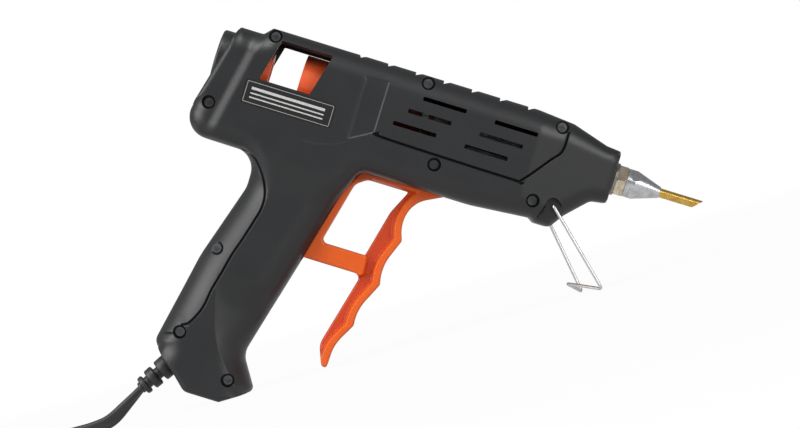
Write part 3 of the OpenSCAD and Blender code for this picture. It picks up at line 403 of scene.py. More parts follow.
class Surface:
    """Points and faces of one closed surface, gathered patch by patch in millimetres."""

    def __init__(self) -> None:
        """Start with no patches."""
        self.points: list[Array] = []
        self.quads: list[Array] = [np.zeros((0, 4), int)]
        self.threes: list[Array] = [np.zeros((0, 3), int)]
        self.count = 0

    def _add(self, points: Array) -> int:
        """Keep a patch's points and give the number of the first."""
        first = self.count
        self.points.append(points.reshape(-1, 3))
        self.count += len(self.points[-1])
        return first

    def grid(self, points: Array, wrap_u: bool = False, wrap_v: bool = False) -> Surface:
        """Add a patch of four-sided faces over a grid of points.

        Args:
            points: places, in rows and columns.
            wrap_u: join the last row to the first.
            wrap_v: join the last column to the first.

        Returns:
            This surface.
        """
        index = self._add(points) + np.arange(points.shape[0] * points.shape[1]).reshape(points.shape[:2])
        index = np.concatenate([index, index[:1]], 0) if wrap_u else index
        index = np.concatenate([index, index[:, :1]], 1) if wrap_v else index
        self.quads.append(cells(index))
        return self

    def sheet(self, flat: Array, threes: Array, height: Array) -> Surface:
        """Add plane triangles lifted to a height along y at each point."""
        self.threes.append(threes + self._add(np.stack([flat[:, 0], height, flat[:, 1]], -1)))
        return self

    def wall(
        self, loop: Array, low: Array, high: Array, rows: int = 2, other: Array | None = None,
    ) -> Surface:
        """Add a strip round a loop of the x z plane, in even rows from one height along y to another.

        Args:
            loop: the loop at the first row.
            low: y at the first row.
            high: y at the last row.
            rows: number of rows.
            other: the loop at the last row, where it differs.

        Returns:
            This surface.
        """
        last = loop if other is None else other
        t = np.linspace(0.0, 1.0, rows)[:, None]
        plane = loop[None] + t[..., None] * (last - loop)[None]
        y = low + t * (high - low)
        return self.grid(np.stack([plane[..., 0], y, plane[..., 1]], -1), wrap_v=True)

    def sweep(self, path: Array, section: Array, wide: Array, thin: Array) -> Surface:
        """Add a section carried along a path, closed at its ends by rings that shrink to the path.

        Args:
            path: middles of the section.
            section: its outline as widths and thicknesses, for all or for each of the path's points.
            wide: direction of its widths at each point.
            thin: direction of its thicknesses at each point.

        Returns:
            This surface.
        """
        out = np.broadcast_to(section, (len(path), *section.shape[-2:]))
        ring = path[:, None] + out[..., :1] * wide[:, None] + out[..., 1:] * thin[:, None]
        ends = [np.broadcast_to(path[k], ring.shape[1:])[None] for k in (0, -1)]
        return self.grid(np.concatenate([ends[0], ring, ends[1]]), wrap_v=True)

    def tube(self, path: Array, radius: float, aside: Array, sides: int = 16) -> Surface:
        """Add a round tube along a path; aside is any direction that the path never takes."""
        way = ways(path)
        wide = unit(np.cross(np.broadcast_to(aside, way.shape), way))
        return self.sweep(path, circle((0.0, 0.0), radius, sides), wide, np.cross(way, wide))

    def ring(self, profile: Array, sides: int) -> Surface:
        """Add a closed profile turned about the x axis."""
        return self.grid(turned(profile, sides), wrap_u=True, wrap_v=True)

    def piece(self, name: str, stance: Stance, crease: float = 38.0) -> bpy.types.Object:
        """Make the mesh object, welded where patches meet, faced outwards and smooth but for sharp edges.

        Args:
            name: the object's name.
            stance: where the gun's frame lies in the row frame.
            crease: least angle of a sharp edge, in degrees.

        Returns:
            The object, at the origin, with its place in its mesh.
        """
        points = stance.place(np.concatenate(self.points)).astype(np.float32)
        quads, threes = np.concatenate(self.quads), np.concatenate(self.threes)
        mesh = bpy.data.meshes.new(name)
        mesh.vertices.add(len(points))
        mesh.vertices.foreach_set("co", points.ravel())
        mesh.loops.add(quads.size + threes.size)
        corners = np.concatenate([quads.ravel(), threes.ravel()])
        mesh.loops.foreach_set("vertex_index", corners.astype(np.int32))
        mesh.polygons.add(len(quads) + len(threes))
        starts = np.concatenate([4 * np.arange(len(quads)), quads.size + 3 * np.arange(len(threes))])
        mesh.polygons.foreach_set("loop_start", starts.astype(np.int32))
        mesh.update(calc_edges=True)
        mesh.validate()
        work = bmesh.new()
        work.from_mesh(mesh)
        bmesh.ops.remove_doubles(work, verts=work.verts, dist=2e-6)
        bmesh.ops.dissolve_degenerate(work, edges=work.edges, dist=1e-7)
        bmesh.ops.recalc_face_normals(work, faces=work.faces)
        work.to_mesh(mesh)
        work.free()
        mesh.shade_smooth()
        mesh.set_sharp_from_angle(angle=math.radians(crease))
        made = bpy.data.objects.new(name, mesh)
        bpy.context.scene.collection.objects.link(made)
        return made


@dataclass(frozen=True)
class Stance:
    """How the gun's frame lies in the row frame: turned nose down about y, then moved."""

    tilt: float = 33.2
    shift: float = 96.9955
    drop: float = 46.7928

    def turn(self, vectors: Array) -> Array:
        """Directions of the gun's frame, in the row frame."""
        c, s = math.cos(math.radians(self.tilt)), math.sin(math.radians(self.tilt))
        return np.asarray(vectors) @ np.array([[c, 0.0, -s], [0.0, 1.0, 0.0], [s, 0.0, c]])

    def place(self, points: Array) -> Array:
        """Millimetres of the gun's frame, as metres of the row frame."""
        return (self.turn(points) + np.array([self.shift, 0.0, self.drop])) * MILLIMETRE


GUN = Stance()
FLOOR = Stance(0.0, 0.0, 0.0)


# Shader nodes


class Wire:
    """A node's output socket, with the sums that shaders need written as Python expressions."""

    def __init__(self, shade: Shade, socket: bpy.types.NodeSocket) -> None:
        """Wrap a socket of a shader's tree."""
        self.shade = shade
        self.socket = socket

    def math(self, operation: str, *values: Wire | float) -> Wire:
        """Output of a Math node that does an operation on values, in order."""
        return self.shade.wire("ShaderNodeMath", {"operation": operation}, dict(enumerate(values)))

    def __add__(self, other: Wire | float) -> Wire:
        """Sum."""
        return self.math("ADD", self, other)

    def __radd__(self, other: float) -> Wire:
        """Sum, with the number first."""
        return self.math("ADD", other, self)

    def __sub__(self, other: Wire | float) -> Wire:
        """Difference."""
        return self.math("SUBTRACT", self, other)

    def __rsub__(self, other: float) -> Wire:
        """Difference, with the number first."""
        return self.math("SUBTRACT", other, self)

    def __mul__(self, other: Wire | float) -> Wire:
        """Product."""
        return self.math("MULTIPLY", self, other)

    def __rmul__(self, other: float) -> Wire:
        """Product, with the number first."""
        return self.math("MULTIPLY", other, self)

    def __abs__(self) -> Wire:
        """Size without sign."""
        return self.math("ABSOLUTE", self)

    def least(self, other: Wire | float) -> Wire:
        """The smaller of two values."""
        return self.math("MINIMUM", self, other)

    def most(self, other: Wire | float) -> Wire:
        """The larger of two values."""
        return self.math("MAXIMUM", self, other)

    def sine(self) -> Wire:
        """Sine of an angle in radians."""
        return self.math("SINE", self)

    def root(self) -> Wire:
        """Square root."""
        return self.math("SQRT", self)

    def step(self, low: float, high: float) -> Wire:
        """Eased step from 0 at low to 1 at high; low may be the larger."""
        return self.shade.wire(
            "ShaderNodeMapRange", {"interpolation_type": "SMOOTHSTEP"},
            {0: self, 1: low, 2: high, 3: 0.0, 4: 1.0},
        )

    def band(self, half: float, soft: float = 0.05) -> Wire:
        """1 where the size is under half, falling to 0 over a soft border."""
        return abs(self).step(half + soft, half - soft)


class Shade:
    """The node tree of a material or of the world."""

    def __init__(self, tree: bpy.types.NodeTree) -> None:
        """Start on an empty tree."""
        self.tree = tree
        tree.nodes.clear()

    @classmethod
    def material(cls, name: str) -> tuple[bpy.types.Material, Shade]:
        """A new material and its shader."""
        made = bpy.data.materials.new(name)
        made.use_nodes = True
        return made, cls(made.node_tree)

    def node(self, kind: str, settings: dict | None = None, sockets: dict | None = None) -> bpy.types.Node:
        """Add a node.

        Args:
            kind: the node's type.
            settings: its settings, set first.
            sockets: values or wires for its inputs, by name or number.

        Returns:
            The node.
        """
        made = self.tree.nodes.new(kind)
        for key, value in (settings or {}).items():
            setattr(made, key, value)
        for key, value in (sockets or {}).items():
            if isinstance(value, Wire):
                self.tree.links.new(value.socket, made.inputs[key])
            else:
                made.inputs[key].default_value = value
        return made

    def wire(self, kind: str, settings: dict | None = None, sockets: dict | None = None,
             output: int | str = 0) -> Wire:
        """Add a node and give one of its outputs."""
        return Wire(self, self.node(kind, settings, sockets).outputs[output])

    def row(self) -> Wire:
        """Object coordinates, in metres of the row frame."""
        return self.wire("ShaderNodeTexCoord", output="Object")

    def gun(self, scale: Point = (1.0, 1.0, 1.0), move: Point = (0.0, 0.0, 0.0)) -> Wire:
        """Places in millimetres of the gun's frame, counted from a place in it and scaled on each axis."""
        return self.wire(
            "ShaderNodeMapping", {"vector_type": "TEXTURE"},
            {"Vector": self.row(), "Location": tuple(GUN.place(np.array(move, float)[None])[0]),
             "Rotation": (0.0, math.radians(GUN.tilt), 0.0), "Scale": tuple(MILLIMETRE / s for s in scale)},
        )

    def parts(self, vector: Wire) -> tuple[Wire, Wire, Wire]:
        """The three parts of a vector."""
        made = self.node("ShaderNodeSeparateXYZ", None, {0: vector})
        return tuple(Wire(self, made.outputs[k]) for k in range(3))

    def noise(self, vector: Wire, scale: float, detail: float = 2.0, roughness: float = 0.5) -> Wire:
        """Cloudy noise from 0 to 1."""
        return self.wire("ShaderNodeTexNoise", None, {
            "Vector": vector, "Scale": scale, "Detail": detail, "Roughness": roughness})

    def mix(self, share: Wire | float, first: Wire | Point, second: Wire | Point) -> Wire:
        """Colour that goes from the first to the second as share goes from 0 to 1."""
        made = self.node("ShaderNodeMix", {"data_type": "RGBA"}, {0: share})
        colours = [s for s in made.inputs if s.type == "RGBA"]
        for socket, value in zip(colours, (first, second)):
            if isinstance(value, Wire):
                self.tree.links.new(value.socket, socket)
            else:
                socket.default_value = (*value[:3], 1.0)
        return Wire(self, [s for s in made.outputs if s.type == "RGBA"][0])

    def bump(self, height: Wire, depth: float, strength: float = 1.0) -> Wire:
        """Normal tilted by a height of 0 to 1 over a depth in millimetres."""
        return self.wire("ShaderNodeBump", None, {
            "Height": height, "Distance": depth * MILLIMETRE, "Strength": strength})

    def rays(self, *kinds: str) -> Wire:
        """1 for rays of the named kinds, and 0 for others."""
        path = self.node("ShaderNodeLightPath")
        return functools.reduce(Wire.most, (Wire(self, path.outputs[f"Is {kind} Ray"]) for kind in kinds))

    def finish(self, sockets: dict) -> None:
        """Close a material with a Principled shader that takes these values and wires."""
        shader = self.wire("ShaderNodeBsdfPrincipled", None, sockets)
        self.node("ShaderNodeOutputMaterial", None, {"Surface": shader})


def ink(code: str) -> Point:
    """Linear colour of a six-digit screen colour."""
    value = np.array([int(code[k:k + 2], 16) for k in (0, 2, 4)]) / 255.0
    return tuple(np.where(value <= 0.04045, value / 12.92, ((value + 0.055) / 1.055) ** 2.4)) + (1.0,)


# Finishes


@dataclass(frozen=True)
class Finish:
    """A named finish, made into a material once."""

    name: str

    @functools.cache
    def material(self) -> bpy.types.Material:
        """The material."""
        made, shade = Shade.material(self.name)
        shade.finish(self.sockets(shade))
        return made

    def sockets(self, shade: Shade) -> dict:
        """Values and wires for the Principled shader."""
        raise NotImplementedError

    def dress(self, piece: bpy.types.Object) -> bpy.types.Object:
        """Put the material on every slot of a piece."""
        if not piece.material_slots:
            piece.data.materials.append(self.material())
        for slot in piece.material_slots:
            slot.material = self.material()
        return piece


@dataclass(frozen=True)
class Moulded(Finish):
    """Moulded plastic: a spark-eroded grain and a cloudy shade."""

    colour: str = "17181a"
    shade_colour: str = "131416"
    roughness: float = 0.42
    grain: float = 1.9
    grain_depth: float = 0.035
    coat: float = 0.0
    gloss: float = 0.5

    def sockets(self, shade: Shade) -> dict:
        """Fine pebbles in the bump, clouds in the colour and both in the roughness."""
        place = shade.gun()
        pebbles = shade.noise(place, self.grain, 3.0, 0.6)
        clouds = shade.noise(place, 0.045, 3.0, 0.55)
        specks = shade.noise(place, 0.6, 2.0, 0.5)
        tone = (clouds * 0.7 + specks * 0.3).step(0.3, 0.7)
        return {
            "Base Color": shade.mix(tone, ink(self.shade_colour), ink(self.colour)),
            "Roughness": self.roughness - 0.06 + 0.08 * clouds + 0.05 * pebbles,
            "Normal": shade.bump(pebbles, self.grain_depth),
            "Coat Weight": self.coat,
            "Coat Roughness": 0.25,
            "Specular IOR Level": self.gloss,
        }


@dataclass(frozen=True)
class Hollowed(Moulded):
    """Moulded plastic of a plate whose sides are sunk, with painted shade there: a darker red painted into
    the sunk field's colour.
    """

    sunk_shade_colour: str = "c23c09"
    outer: float = 7.0
    floor: float = 4.6

    def sockets(self, shade: Shade) -> dict:
        """The moulded finish, with painted shade that darkens the colour from the plate's faces to the floor
        of its sunk sides.
        """
        made = super().sockets(shade)
        _, across, _ = shade.parts(shade.gun())
        # painted shade: the colour darkens towards the mid plane, where the sunk field lies, in place of the
        # shade on its sloping floor; the outline's walls there get it too
        made["Base Color"] = shade.mix(abs(across).step(self.outer, self.floor), made["Base Color"],
                                       ink(self.sunk_shade_colour))
        return made


@dataclass(frozen=True)
class Metal(Finish):
    """Metal with fine lines from its making, drawn along the gun's axis by default, and dulled clouds."""

    colour: str
    dull: str
    roughness: float
    lines: float = 3.6
    ragged: float = 0.65
    clouds: float = 0.42
    depth: float = 0.012
    stretch: Point = (0.12, 1.0, 1.0)

    def sockets(self, shade: Shade) -> dict:
        """Stretched lines in the bump and the roughness, and clouds in the colour and the roughness."""
        lines = shade.noise(shade.gun(self.stretch), self.lines, 3.0, self.ragged)
        clouds = shade.noise(shade.gun(), self.clouds, 3.0, 0.6)
        return {
            "Base Color": shade.mix(clouds.step(0.35, 0.75), ink(self.colour), ink(self.dull)),
            "Metallic": 1.0,
            "Roughness": self.roughness + 0.12 * clouds + 0.08 * lines - 0.08,
            "Normal": shade.bump(lines, self.depth),
        }


@dataclass(frozen=True)
class Rubber(Finish):
    """Soft black plastic of the cord and its fittings: a faint drag grain and dusty clouds."""

    colour: str = "1b1b1d"
    dust: str = "29292b"
    roughness: float = 0.5

    def sockets(self, shade: Shade) -> dict:
        """Fine grain in the bump, with dust in the colour and roughness."""
        place = shade.row()
        grain = shade.noise(place, 1500.0, 2.0, 0.6)
        dust = shade.noise(place, 90.0, 4.0, 0.6)
        return {
            "Base Color": shade.mix(dust.step(0.4, 0.75), ink(self.colour), ink(self.dust)),
            "Roughness": self.roughness + 0.12 * dust - 0.05,
            "Normal": shade.bump(grain, 0.03),
        }


@dataclass(frozen=True)
class Chalky(Finish):
    """Ceramic, film and silicone: a matt body with fine specks."""

    colour: str = "e8e2d4"
    speck: str = "d6cebc"
    roughness: float = 0.62

    def sockets(self, shade: Shade) -> dict:
        """Specks in the colour and the bump."""
        specks = shade.noise(shade.gun(), 1.4, 4.0, 0.7)
        return {
            "Base Color": shade.mix(specks.step(0.42, 0.68), ink(self.colour), ink(self.speck)),
            "Roughness": self.roughness + 0.1 * specks - 0.05,
            "Normal": shade.bump(specks, 0.03),
        }


@dataclass(frozen=True)
class Braided(Finish):
    """Glass-fibre sleeve of the heater's leads: two sets of slanting threads."""

    colour: str = "ece8de"
    gap: str = "b9b2a2"

    def sockets(self, shade: Shade) -> dict:
        """Threads as the product of two slanted waves."""
        x, y, z = shade.parts(shade.gun())
        one = ((x + y + z) * 9.0).sine()
        two = ((x - y - z) * 9.0).sine()
        weave = (one * two).step(-0.6, 0.6)
        return {
            "Base Color": shade.mix(weave, ink(self.gap), ink(self.colour)),
            "Roughness": 0.8 - 0.1 * weave,
            "Normal": shade.bump(weave, 0.12),
        }


@dataclass(frozen=True)
class LabelFilm(Finish):
    """Bare rating label: black film with a faint keyline, one bold rule and two fine ones, and no words."""

    film: str = "0c0c0d"
    line: str = "d8d8d6"
    centre: Point = (-149.0, 0.0, -11.0)
    half: Point = (20.75, 5.5)
    corner: float = 1.2
    inset: float = 0.85
    key_half: float = 0.13
    bold: Point = (1.9, 0.6)
    fine: Point = (-1.3, 0.95, 0.29)
    rules_span: Point = (-0.5, 17.0)

    def sockets(self, shade: Shade) -> dict:
        """Keyline where the distance to the label's rounded edge is near the inset, and three rules."""
        x, _, z = shade.parts(shade.gun(move=self.centre))
        over, up = abs(x) - (self.half[0] - self.corner), abs(z) - (self.half[1] - self.corner)
        right, high = over.most(0.0), up.most(0.0)
        edge = (right * right + high * high).root() + over.most(up).least(0.0) - self.corner
        key = (edge + self.inset).band(self.key_half)
        middle, apart, half = self.fine
        rule = (z - self.bold[0]).band(self.bold[1]).most((abs(z - middle) - apart).band(half))
        ends = (x - self.rules_span[0]).band(self.rules_span[1], 0.1)
        worn = shade.noise(shade.gun(), 2.4, 3.0, 0.6)
        mark = (key * 0.45).most(rule * ends * 0.7) * worn.step(0.2, 0.45)
        return {
            "Base Color": shade.mix(mark, ink(self.film), ink(self.line)),
            "Roughness": 0.34 + 0.12 * worn,
            "Normal": shade.bump(worn, 0.01),
        }


CHARCOAL = Moulded("charcoal_plastic")
COLLAR_BLACK = Moulded("collar_plastic", "1c1d1f", "18191b", 0.4)
# orange of the trigger and feed lever, with painted shade on the trigger's sunk sides
ORANGE = Hollowed("orange_plastic", "e25e0d", "da550a", 0.36, 1.2, 0.018, 0.1)
RED_ORANGE = Moulded("carriage_plastic", "ff6a38", "f66130", 0.32, 1.2, 0.02, 0.2)
TURNED = {"lines": 3.2, "ragged": 0.7, "clouds": 0.35, "depth": 0.02, "stretch": (1.0, 0.02, 0.02)}
ZINC = Metal("zinc_steel", "c9cbcc", "a6a9ab", 0.34)
SCREW = Metal("screw_steel", "6f7073", "58595c", 0.38)
RING = Metal("washer_steel", "98968f", "7d7b74", 0.34)
STAND_STEEL = Metal("stand_wire", "d2d1cf", "c3c2c0", 0.34, lines=0.36, clouds=0.042, depth=0.002)
CHAMBER = Metal("cast_aluminium", "77787a", "606163", 0.55, lines=1.5, clouds=0.175)
CONTACT = Metal("contact_brass", "c9a050", "a8823c", 0.3)
SILVER = Metal("nozzle_silver", "cbccce", "b0b1b2", 0.22, **TURNED)
NICKEL = Metal("nut_nickel", "dccfba", "b5a68e", 0.2, **TURNED)
BRASS = Metal("needle_brass", "dcb45e", "bf9448", 0.26, **TURNED)
CERAMIC = Chalky("heater_ceramic")
FILM = Chalky("insulating_film", "d9b877", "c9a566", 0.45)
SILICONE = Chalky("silicone_sleeve", "6f281a", "5f2115", 0.5)
SLEEVING = Braided("lead_sleeving")
CORD_BLACK = Rubber("cord_black")
RELIEF_BLACK = Rubber("relief_black", "1f1f21", "2c2c2e", 0.46)
TIE_BLACK = Rubber("tie_black", "202022", "2e2e30", 0.7)
LABEL = LabelFilm("rating_film")


def settle(piece: bpy.types.Object, finish: Finish, body: Rides, slot: str, *nodes: str) -> bpy.types.Object:
    """Dress a piece, put it on its body and let it stand for its CAD nodes.

    Args:
        piece: the new object.
        finish: what it is made of.
        body: the body that it moves with.
        slot: the record's material slot; not used.
        nodes: CAD nodes that it stands for.

    Returns:
        The piece.
    """
    finish.dress(piece)
    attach(piece, body.value)
    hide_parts(*nodes)
    LOG.info("%s stands for %s, %d faces", piece.name, ", ".join(nodes), len(piece.data.polygons))
    return piece


# Sub-assemblies


@dataclass
class Studio:
    """Camera, lamps, white surroundings and the floor."""

    aim: Point = (0.0003, 0.0, 0.0581)
    roll: float = 16.2
    distance: float = 1.3
    width: float = 0.3617
    sensor: float = 36.0
    lamps: tuple[tuple[str, Point, float, float], ...] = (
        ("over", (-0.1, -0.8, 1.9), 1.0, 27.0),
        ("left", (-1.5, -0.7, 0.95), 1.5, 36.0),
        ("right", (1.3, -1.35, 0.45), 0.9, 17.0),
    )
    floor_half: float = 6.0
    floor_cells: int = 12
    floor_paint: Point = (0.34, 0.37)
    floor_white: float = 0.96
    ambient: float = 0.2
    shine: float = 0.3
    floor_shine: float = 0.6
    floor_fade: Point = (0.35, 0.9)

    def camera(self) -> bpy.types.Object:
        """Camera level with the gun's middle, looking along +Y and rolled as the photograph is."""
        lens = bpy.data.cameras.new("camera")
        lens.sensor_width = self.sensor
        lens.lens = self.sensor * self.distance / self.width
        made = bpy.data.objects.new("camera", lens)
        c, s = math.cos(math.radians(self.roll)), math.sin(math.radians(self.roll))
        made.matrix_world = Matrix(((c, s, 0.0, self.aim[0]), (0.0, 0.0, -1.0, -self.distance),
                                    (-s, c, 0.0, self.aim[2]), (0.0, 0.0, 0.0, 1.0)))
        bpy.context.scene.collection.objects.link(made)
        bpy.context.scene.camera = made
        return made

    def lamp(self, name: str, place: Point, size: float, power: float) -> bpy.types.Object:
        """Square area lamp that faces the gun.

        Args:
            name: the lamp's name.
            place: where it hangs, in metres.
            size: its side, in metres.
            power: its power, in watts.

        Returns:
            The lamp.
        """
        light = bpy.data.lights.new(name, "AREA")
        light.shape, light.size, light.energy = "SQUARE", size, power
        made = bpy.data.objects.new(name, light)
        back = unit(np.array(place) - np.array(self.aim))
        over = unit(np.cross(np.array([0.0, 0.0, 1.0]), back))
        axes = np.stack([over, np.cross(back, over), back], -1).tolist()
        rows = [(*row, p) for row, p in zip(axes, place)]
        made.matrix_world = Matrix([*rows, (0.0, 0.0, 0.0, 1.0)])
        bpy.context.scene.collection.objects.link(made)
        return made

    def surroundings(self) -> None:
        """White world as the camera sees it, and dimmer levels for what it lights and for reflections."""
        world = bpy.data.worlds.new("surroundings")
        world.use_nodes = True
        shade = Shade(world.node_tree)
        seen, gloss = shade.rays("Camera", "Transmission"), shade.rays("Glossy")
        dim = self.ambient + (self.shine - self.ambient) * gloss
        back = shade.wire("ShaderNodeBackground", None, {
            "Color": (1.0, 1.0, 1.0, 1.0), "Strength": seen + (1.0 - seen) * dim})
        shade.node("ShaderNodeOutputWorld", None, {"Surface": back})
        bpy.context.scene.world = world

    def floor(self) -> bpy.types.Object:
        """Floor: white as it is seen, with a share near the gun that takes the object's shadow."""
        made, shade = Shade.material("pale_floor")
        seen, gloss = shade.rays("Camera", "Transmission"), shade.rays("Glossy")
        speck = shade.noise(shade.row(), 400.0, 2.0, 0.5)
        x, y, _ = shade.parts(shade.row())
        far = (x * x + y * y).root().step(*self.floor_fade)
        dark, pale = ((level,) * 3 for level in self.floor_paint)
        paint = shade.wire("ShaderNodeBsdfPrincipled", None, {
            "Base Color": shade.mix(speck, dark, pale), "Roughness": 0.9})
        glow = shade.wire("ShaderNodeEmission", None, {"Color": (1.0, 1.0, 1.0, 1.0), "Strength": 1.0})
        white = seen * (self.floor_white + (1.0 - self.floor_white) * far)
        both = shade.wire("ShaderNodeMixShader", None, {
            0: white.most(gloss * self.floor_shine), 1: paint, 2: glow})
        shade.node("ShaderNodeOutputMaterial", None, {"Surface": both})
        t = np.linspace(-self.floor_half, self.floor_half, self.floor_cells + 1)
        x, y = np.meshgrid(t, t, indexing="ij")
        sheet = bpy.data.meshes.new("floor")
        faces = cells(np.arange(x.size).reshape(x.shape))
        sheet.from_pydata(np.stack([x, y, 0 * x], -1).reshape(-1, 3).tolist(), [], faces.tolist())
        sheet.materials.append(made)
        ground = bpy.data.objects.new("floor", sheet)
        bpy.context.scene.collection.objects.link(ground)
        return ground

    def build(self) -> None:
        """Set up the camera, the surroundings, the floor and three soft lamps."""
        bpy.context.scene.view_settings.view_transform = "Standard"
        self.camera()
        self.surroundings()
        self.floor()
        for lamp in self.lamps:
            self.lamp(*lamp)


@dataclass
class Cord:
    """The flat mains cord: out of the strain relief, along the floor, a tied hank, and its plug."""

    width: float = 6.1
    thick: float = 3.4
    waist: Point = (0.16, 0.55)
    section_bow: Point = (0.85, 0.7)
    section_sides: int = 24
    route: tuple[Point, ...] = (
        (-132.198, 0.0, 16.052, 0.0), (-142.5, 0.0, 9.7, 38.0), (-151.0, 0.0, 5.0, 76.0),
        (-159.5, 0.2, 3.6, 90.0), (-169.0, 1.2, 3.6, 90.0), (-179.2, 4.2, 3.6, 90.0),
        (-189.2, 9.9, 3.6, 90.0), (-199.2, 16.2, 3.6, 90.0), (-210.2, 22.5, 3.6, 90.0),
        (-222.2, 26.8, 4.1, 90.0), (-233.2, 27.5, 4.45, 90.0),
    )
    folds: Point = (-293.2, -233.2)
    fold_inner: float = 17.0
    pitch: float = 4.2
    layers: Point = (4.45, 11.35)
    layer_folds: int = 5
    fold_steps: int = 12
    run_steps: int = 8
    lead_in: int = 7
    plug_at: Point = (-265.2, 18.0, 22.5)
    rise: Point = (11.0, 1.2)
    rise_steps: int = 6
    tie_in: float = 14.8
    tie_out: float = 27.6
    tie_high: float = 14.0
    tie_thick: float = 0.8
    tie_width: float = 6.0
    tie_corner: float = 1.2
    tie_taper: float = 0.94
    plug_length: float = 33.0
    plug_half: Point = (11.5, 8.0)
    plug_round: float = 1.5
    plug_rows: tuple[tuple[float, float, int], ...] = ((0.25, 13.0, 52), (13.3, 17.5, 18), (18.3, 31.4, 18))
    plug_corner: tuple[float, float, int] = (0.1, 1.57, 8)
    plug_bow: float = 0.5
    plug_sides: int = 64
    neck: Point = (13.0, 4.05, 2.4)
    ridges: Point = (2.4, 0.45)
    ridge_span: Point = (1.2, 11.5, -0.1)
    grip_ease: Point = (12.8, 4.4)
    pinch: Point = (0.9, 17.0, 25.0, 4.0)

    @property
    def fold_outer(self) -> float:
        """Radius of the hank's outmost fold."""
        return self.fold_inner + self.pitch * self.layer_folds / 2

    def hank(self) -> Array:
        """Points of the hank: it winds in on the floor, climbs along a straight run and winds out on top.

        Each half turn has steps round a fold and steps along a run; the radius changes by half the pitch
        round each fold, and the height eases up along the run between the layers.

        Returns:
            Rows of x, y, z and twist.
        """
        span = self.fold_steps + self.run_steps
        last = span * (2 * self.layer_folds - 1) + self.lead_in
        whole, step = np.divmod(np.arange(-self.lead_in, last), span)
        turn = np.minimum(step, self.fold_steps) / self.fold_steps
        run = np.maximum(step - self.fold_steps, 0) / self.run_steps
        f = whole + turn
        radius = np.where(f <= self.layer_folds, self.fold_outer - self.pitch * f / 2,
                          self.fold_inner + self.pitch * (f - self.layer_folds) / 2)
        a = np.pi * (0.5 + f)
        ends = np.array(self.folds)
        x = ends[whole % 2] * (1 - run) + ends[(whole + 1) % 2] * run + radius * np.cos(a)
        low, high = self.layers
        z = low + (high - low) * smooth(whole + run - self.layer_folds + 1)
        return np.stack([x, radius * np.sin(a), z, 0 * x + 90.0], -1)

    def tail(self) -> Array:
        """Points of the cord's last stretch: off the last fold and up to the plug, by an eased height."""
        n, (run, off) = self.rise_steps, self.rise
        near, outer = self.folds[1], self.fold_outer
        k = np.arange(1, n + 4)
        r, a = outer - self.pitch / 4 * (1 - k[:n] / n), np.radians(90.0 / n * k[:n])
        x = np.append(near + r * np.cos(a), [near - run, near - 2 * run, self.plug_at[0]])
        y = np.append(r * np.sin(a), [outer - off, (outer + self.fold_inner) / 2, self.plug_at[1]])
        z = self.layers[1] + (self.plug_at[2] - self.layers[1]) * smooth(k / len(k))
        return np.stack([x, y, z, 0 * x + 90.0], -1)

    def path(self) -> Array:
        """The whole centreline as a spline, with the section's twist beside it."""
        return spline(np.concatenate([np.array(self.route), self.hank(), self.tail()]), 4)

    def lead(self) -> bpy.types.Object:
        """The cord: two cores side by side under one skin, carried along the path.

        The section is a rounded bar, thinned along its middle by a bell curve; its wide side lies across at
        the strain relief and stands on edge on the floor.

        Returns:
            The piece.
        """
        path = self.path()
        a = angles(self.section_sides)
        w = self.width / 2 * bowed(np.cos(a), self.section_bow[0])
        t = self.thick / 2 * bowed(np.sin(a), self.section_bow[1])
        deep, half = self.waist
        section = np.stack([w, t * (1.0 - deep * np.exp(-((w / half) ** 2)))], -1)
        way = ways(path[:, :3])
        side = unit(np.cross(np.array([0.0, 0.0, 1.0]), way))
        twist = np.radians(path[:, 3:])
        wide = side * np.cos(twist) + np.cross(way, side) * np.sin(twist)
        piece = Surface().sweep(path[:, :3], section, wide, np.cross(way, wide)).piece("cord_lead", FLOOR)
        return settle(piece, CORD_BLACK, Rides.CASING, "rubber", "cord", "cord_coil", "cord_end")

    def tie(self) -> bpy.types.Object:
        """Strap round the hank: a flat band along a rounded rectangle, narrower outside."""
        half_r, half_z = (self.tie_out - self.tie_in) / 2, self.tie_high / 2
        middle = np.array([0.0, -(self.tie_in + self.tie_out) / 2, sum(self.layers) / 2])
        band = rectangle((0.0, 0.0), (half_r, half_z), self.tie_corner)
        inner, outer = band.loop(1.0), band.loop(1.0, -self.tie_thick)
        x = np.array([-1.0, 1.0, self.tie_taper, -self.tie_taper]) * self.tie_width / 2
        loop = np.stack([inner, inner, outer, outer])
        points = np.stack([np.broadcast_to(x[:, None], loop.shape[:2]), loop[..., 0], loop[..., 1]], -1)
        points = points + middle + np.array([sum(self.folds) / 2, 0.0, 0.0])
        piece = Surface().grid(points, wrap_u=True, wrap_v=True).piece("hank_tie", FLOOR)
        return settle(piece, TIE_BLACK, Rides.CASING, "rubber", "cord_tie")

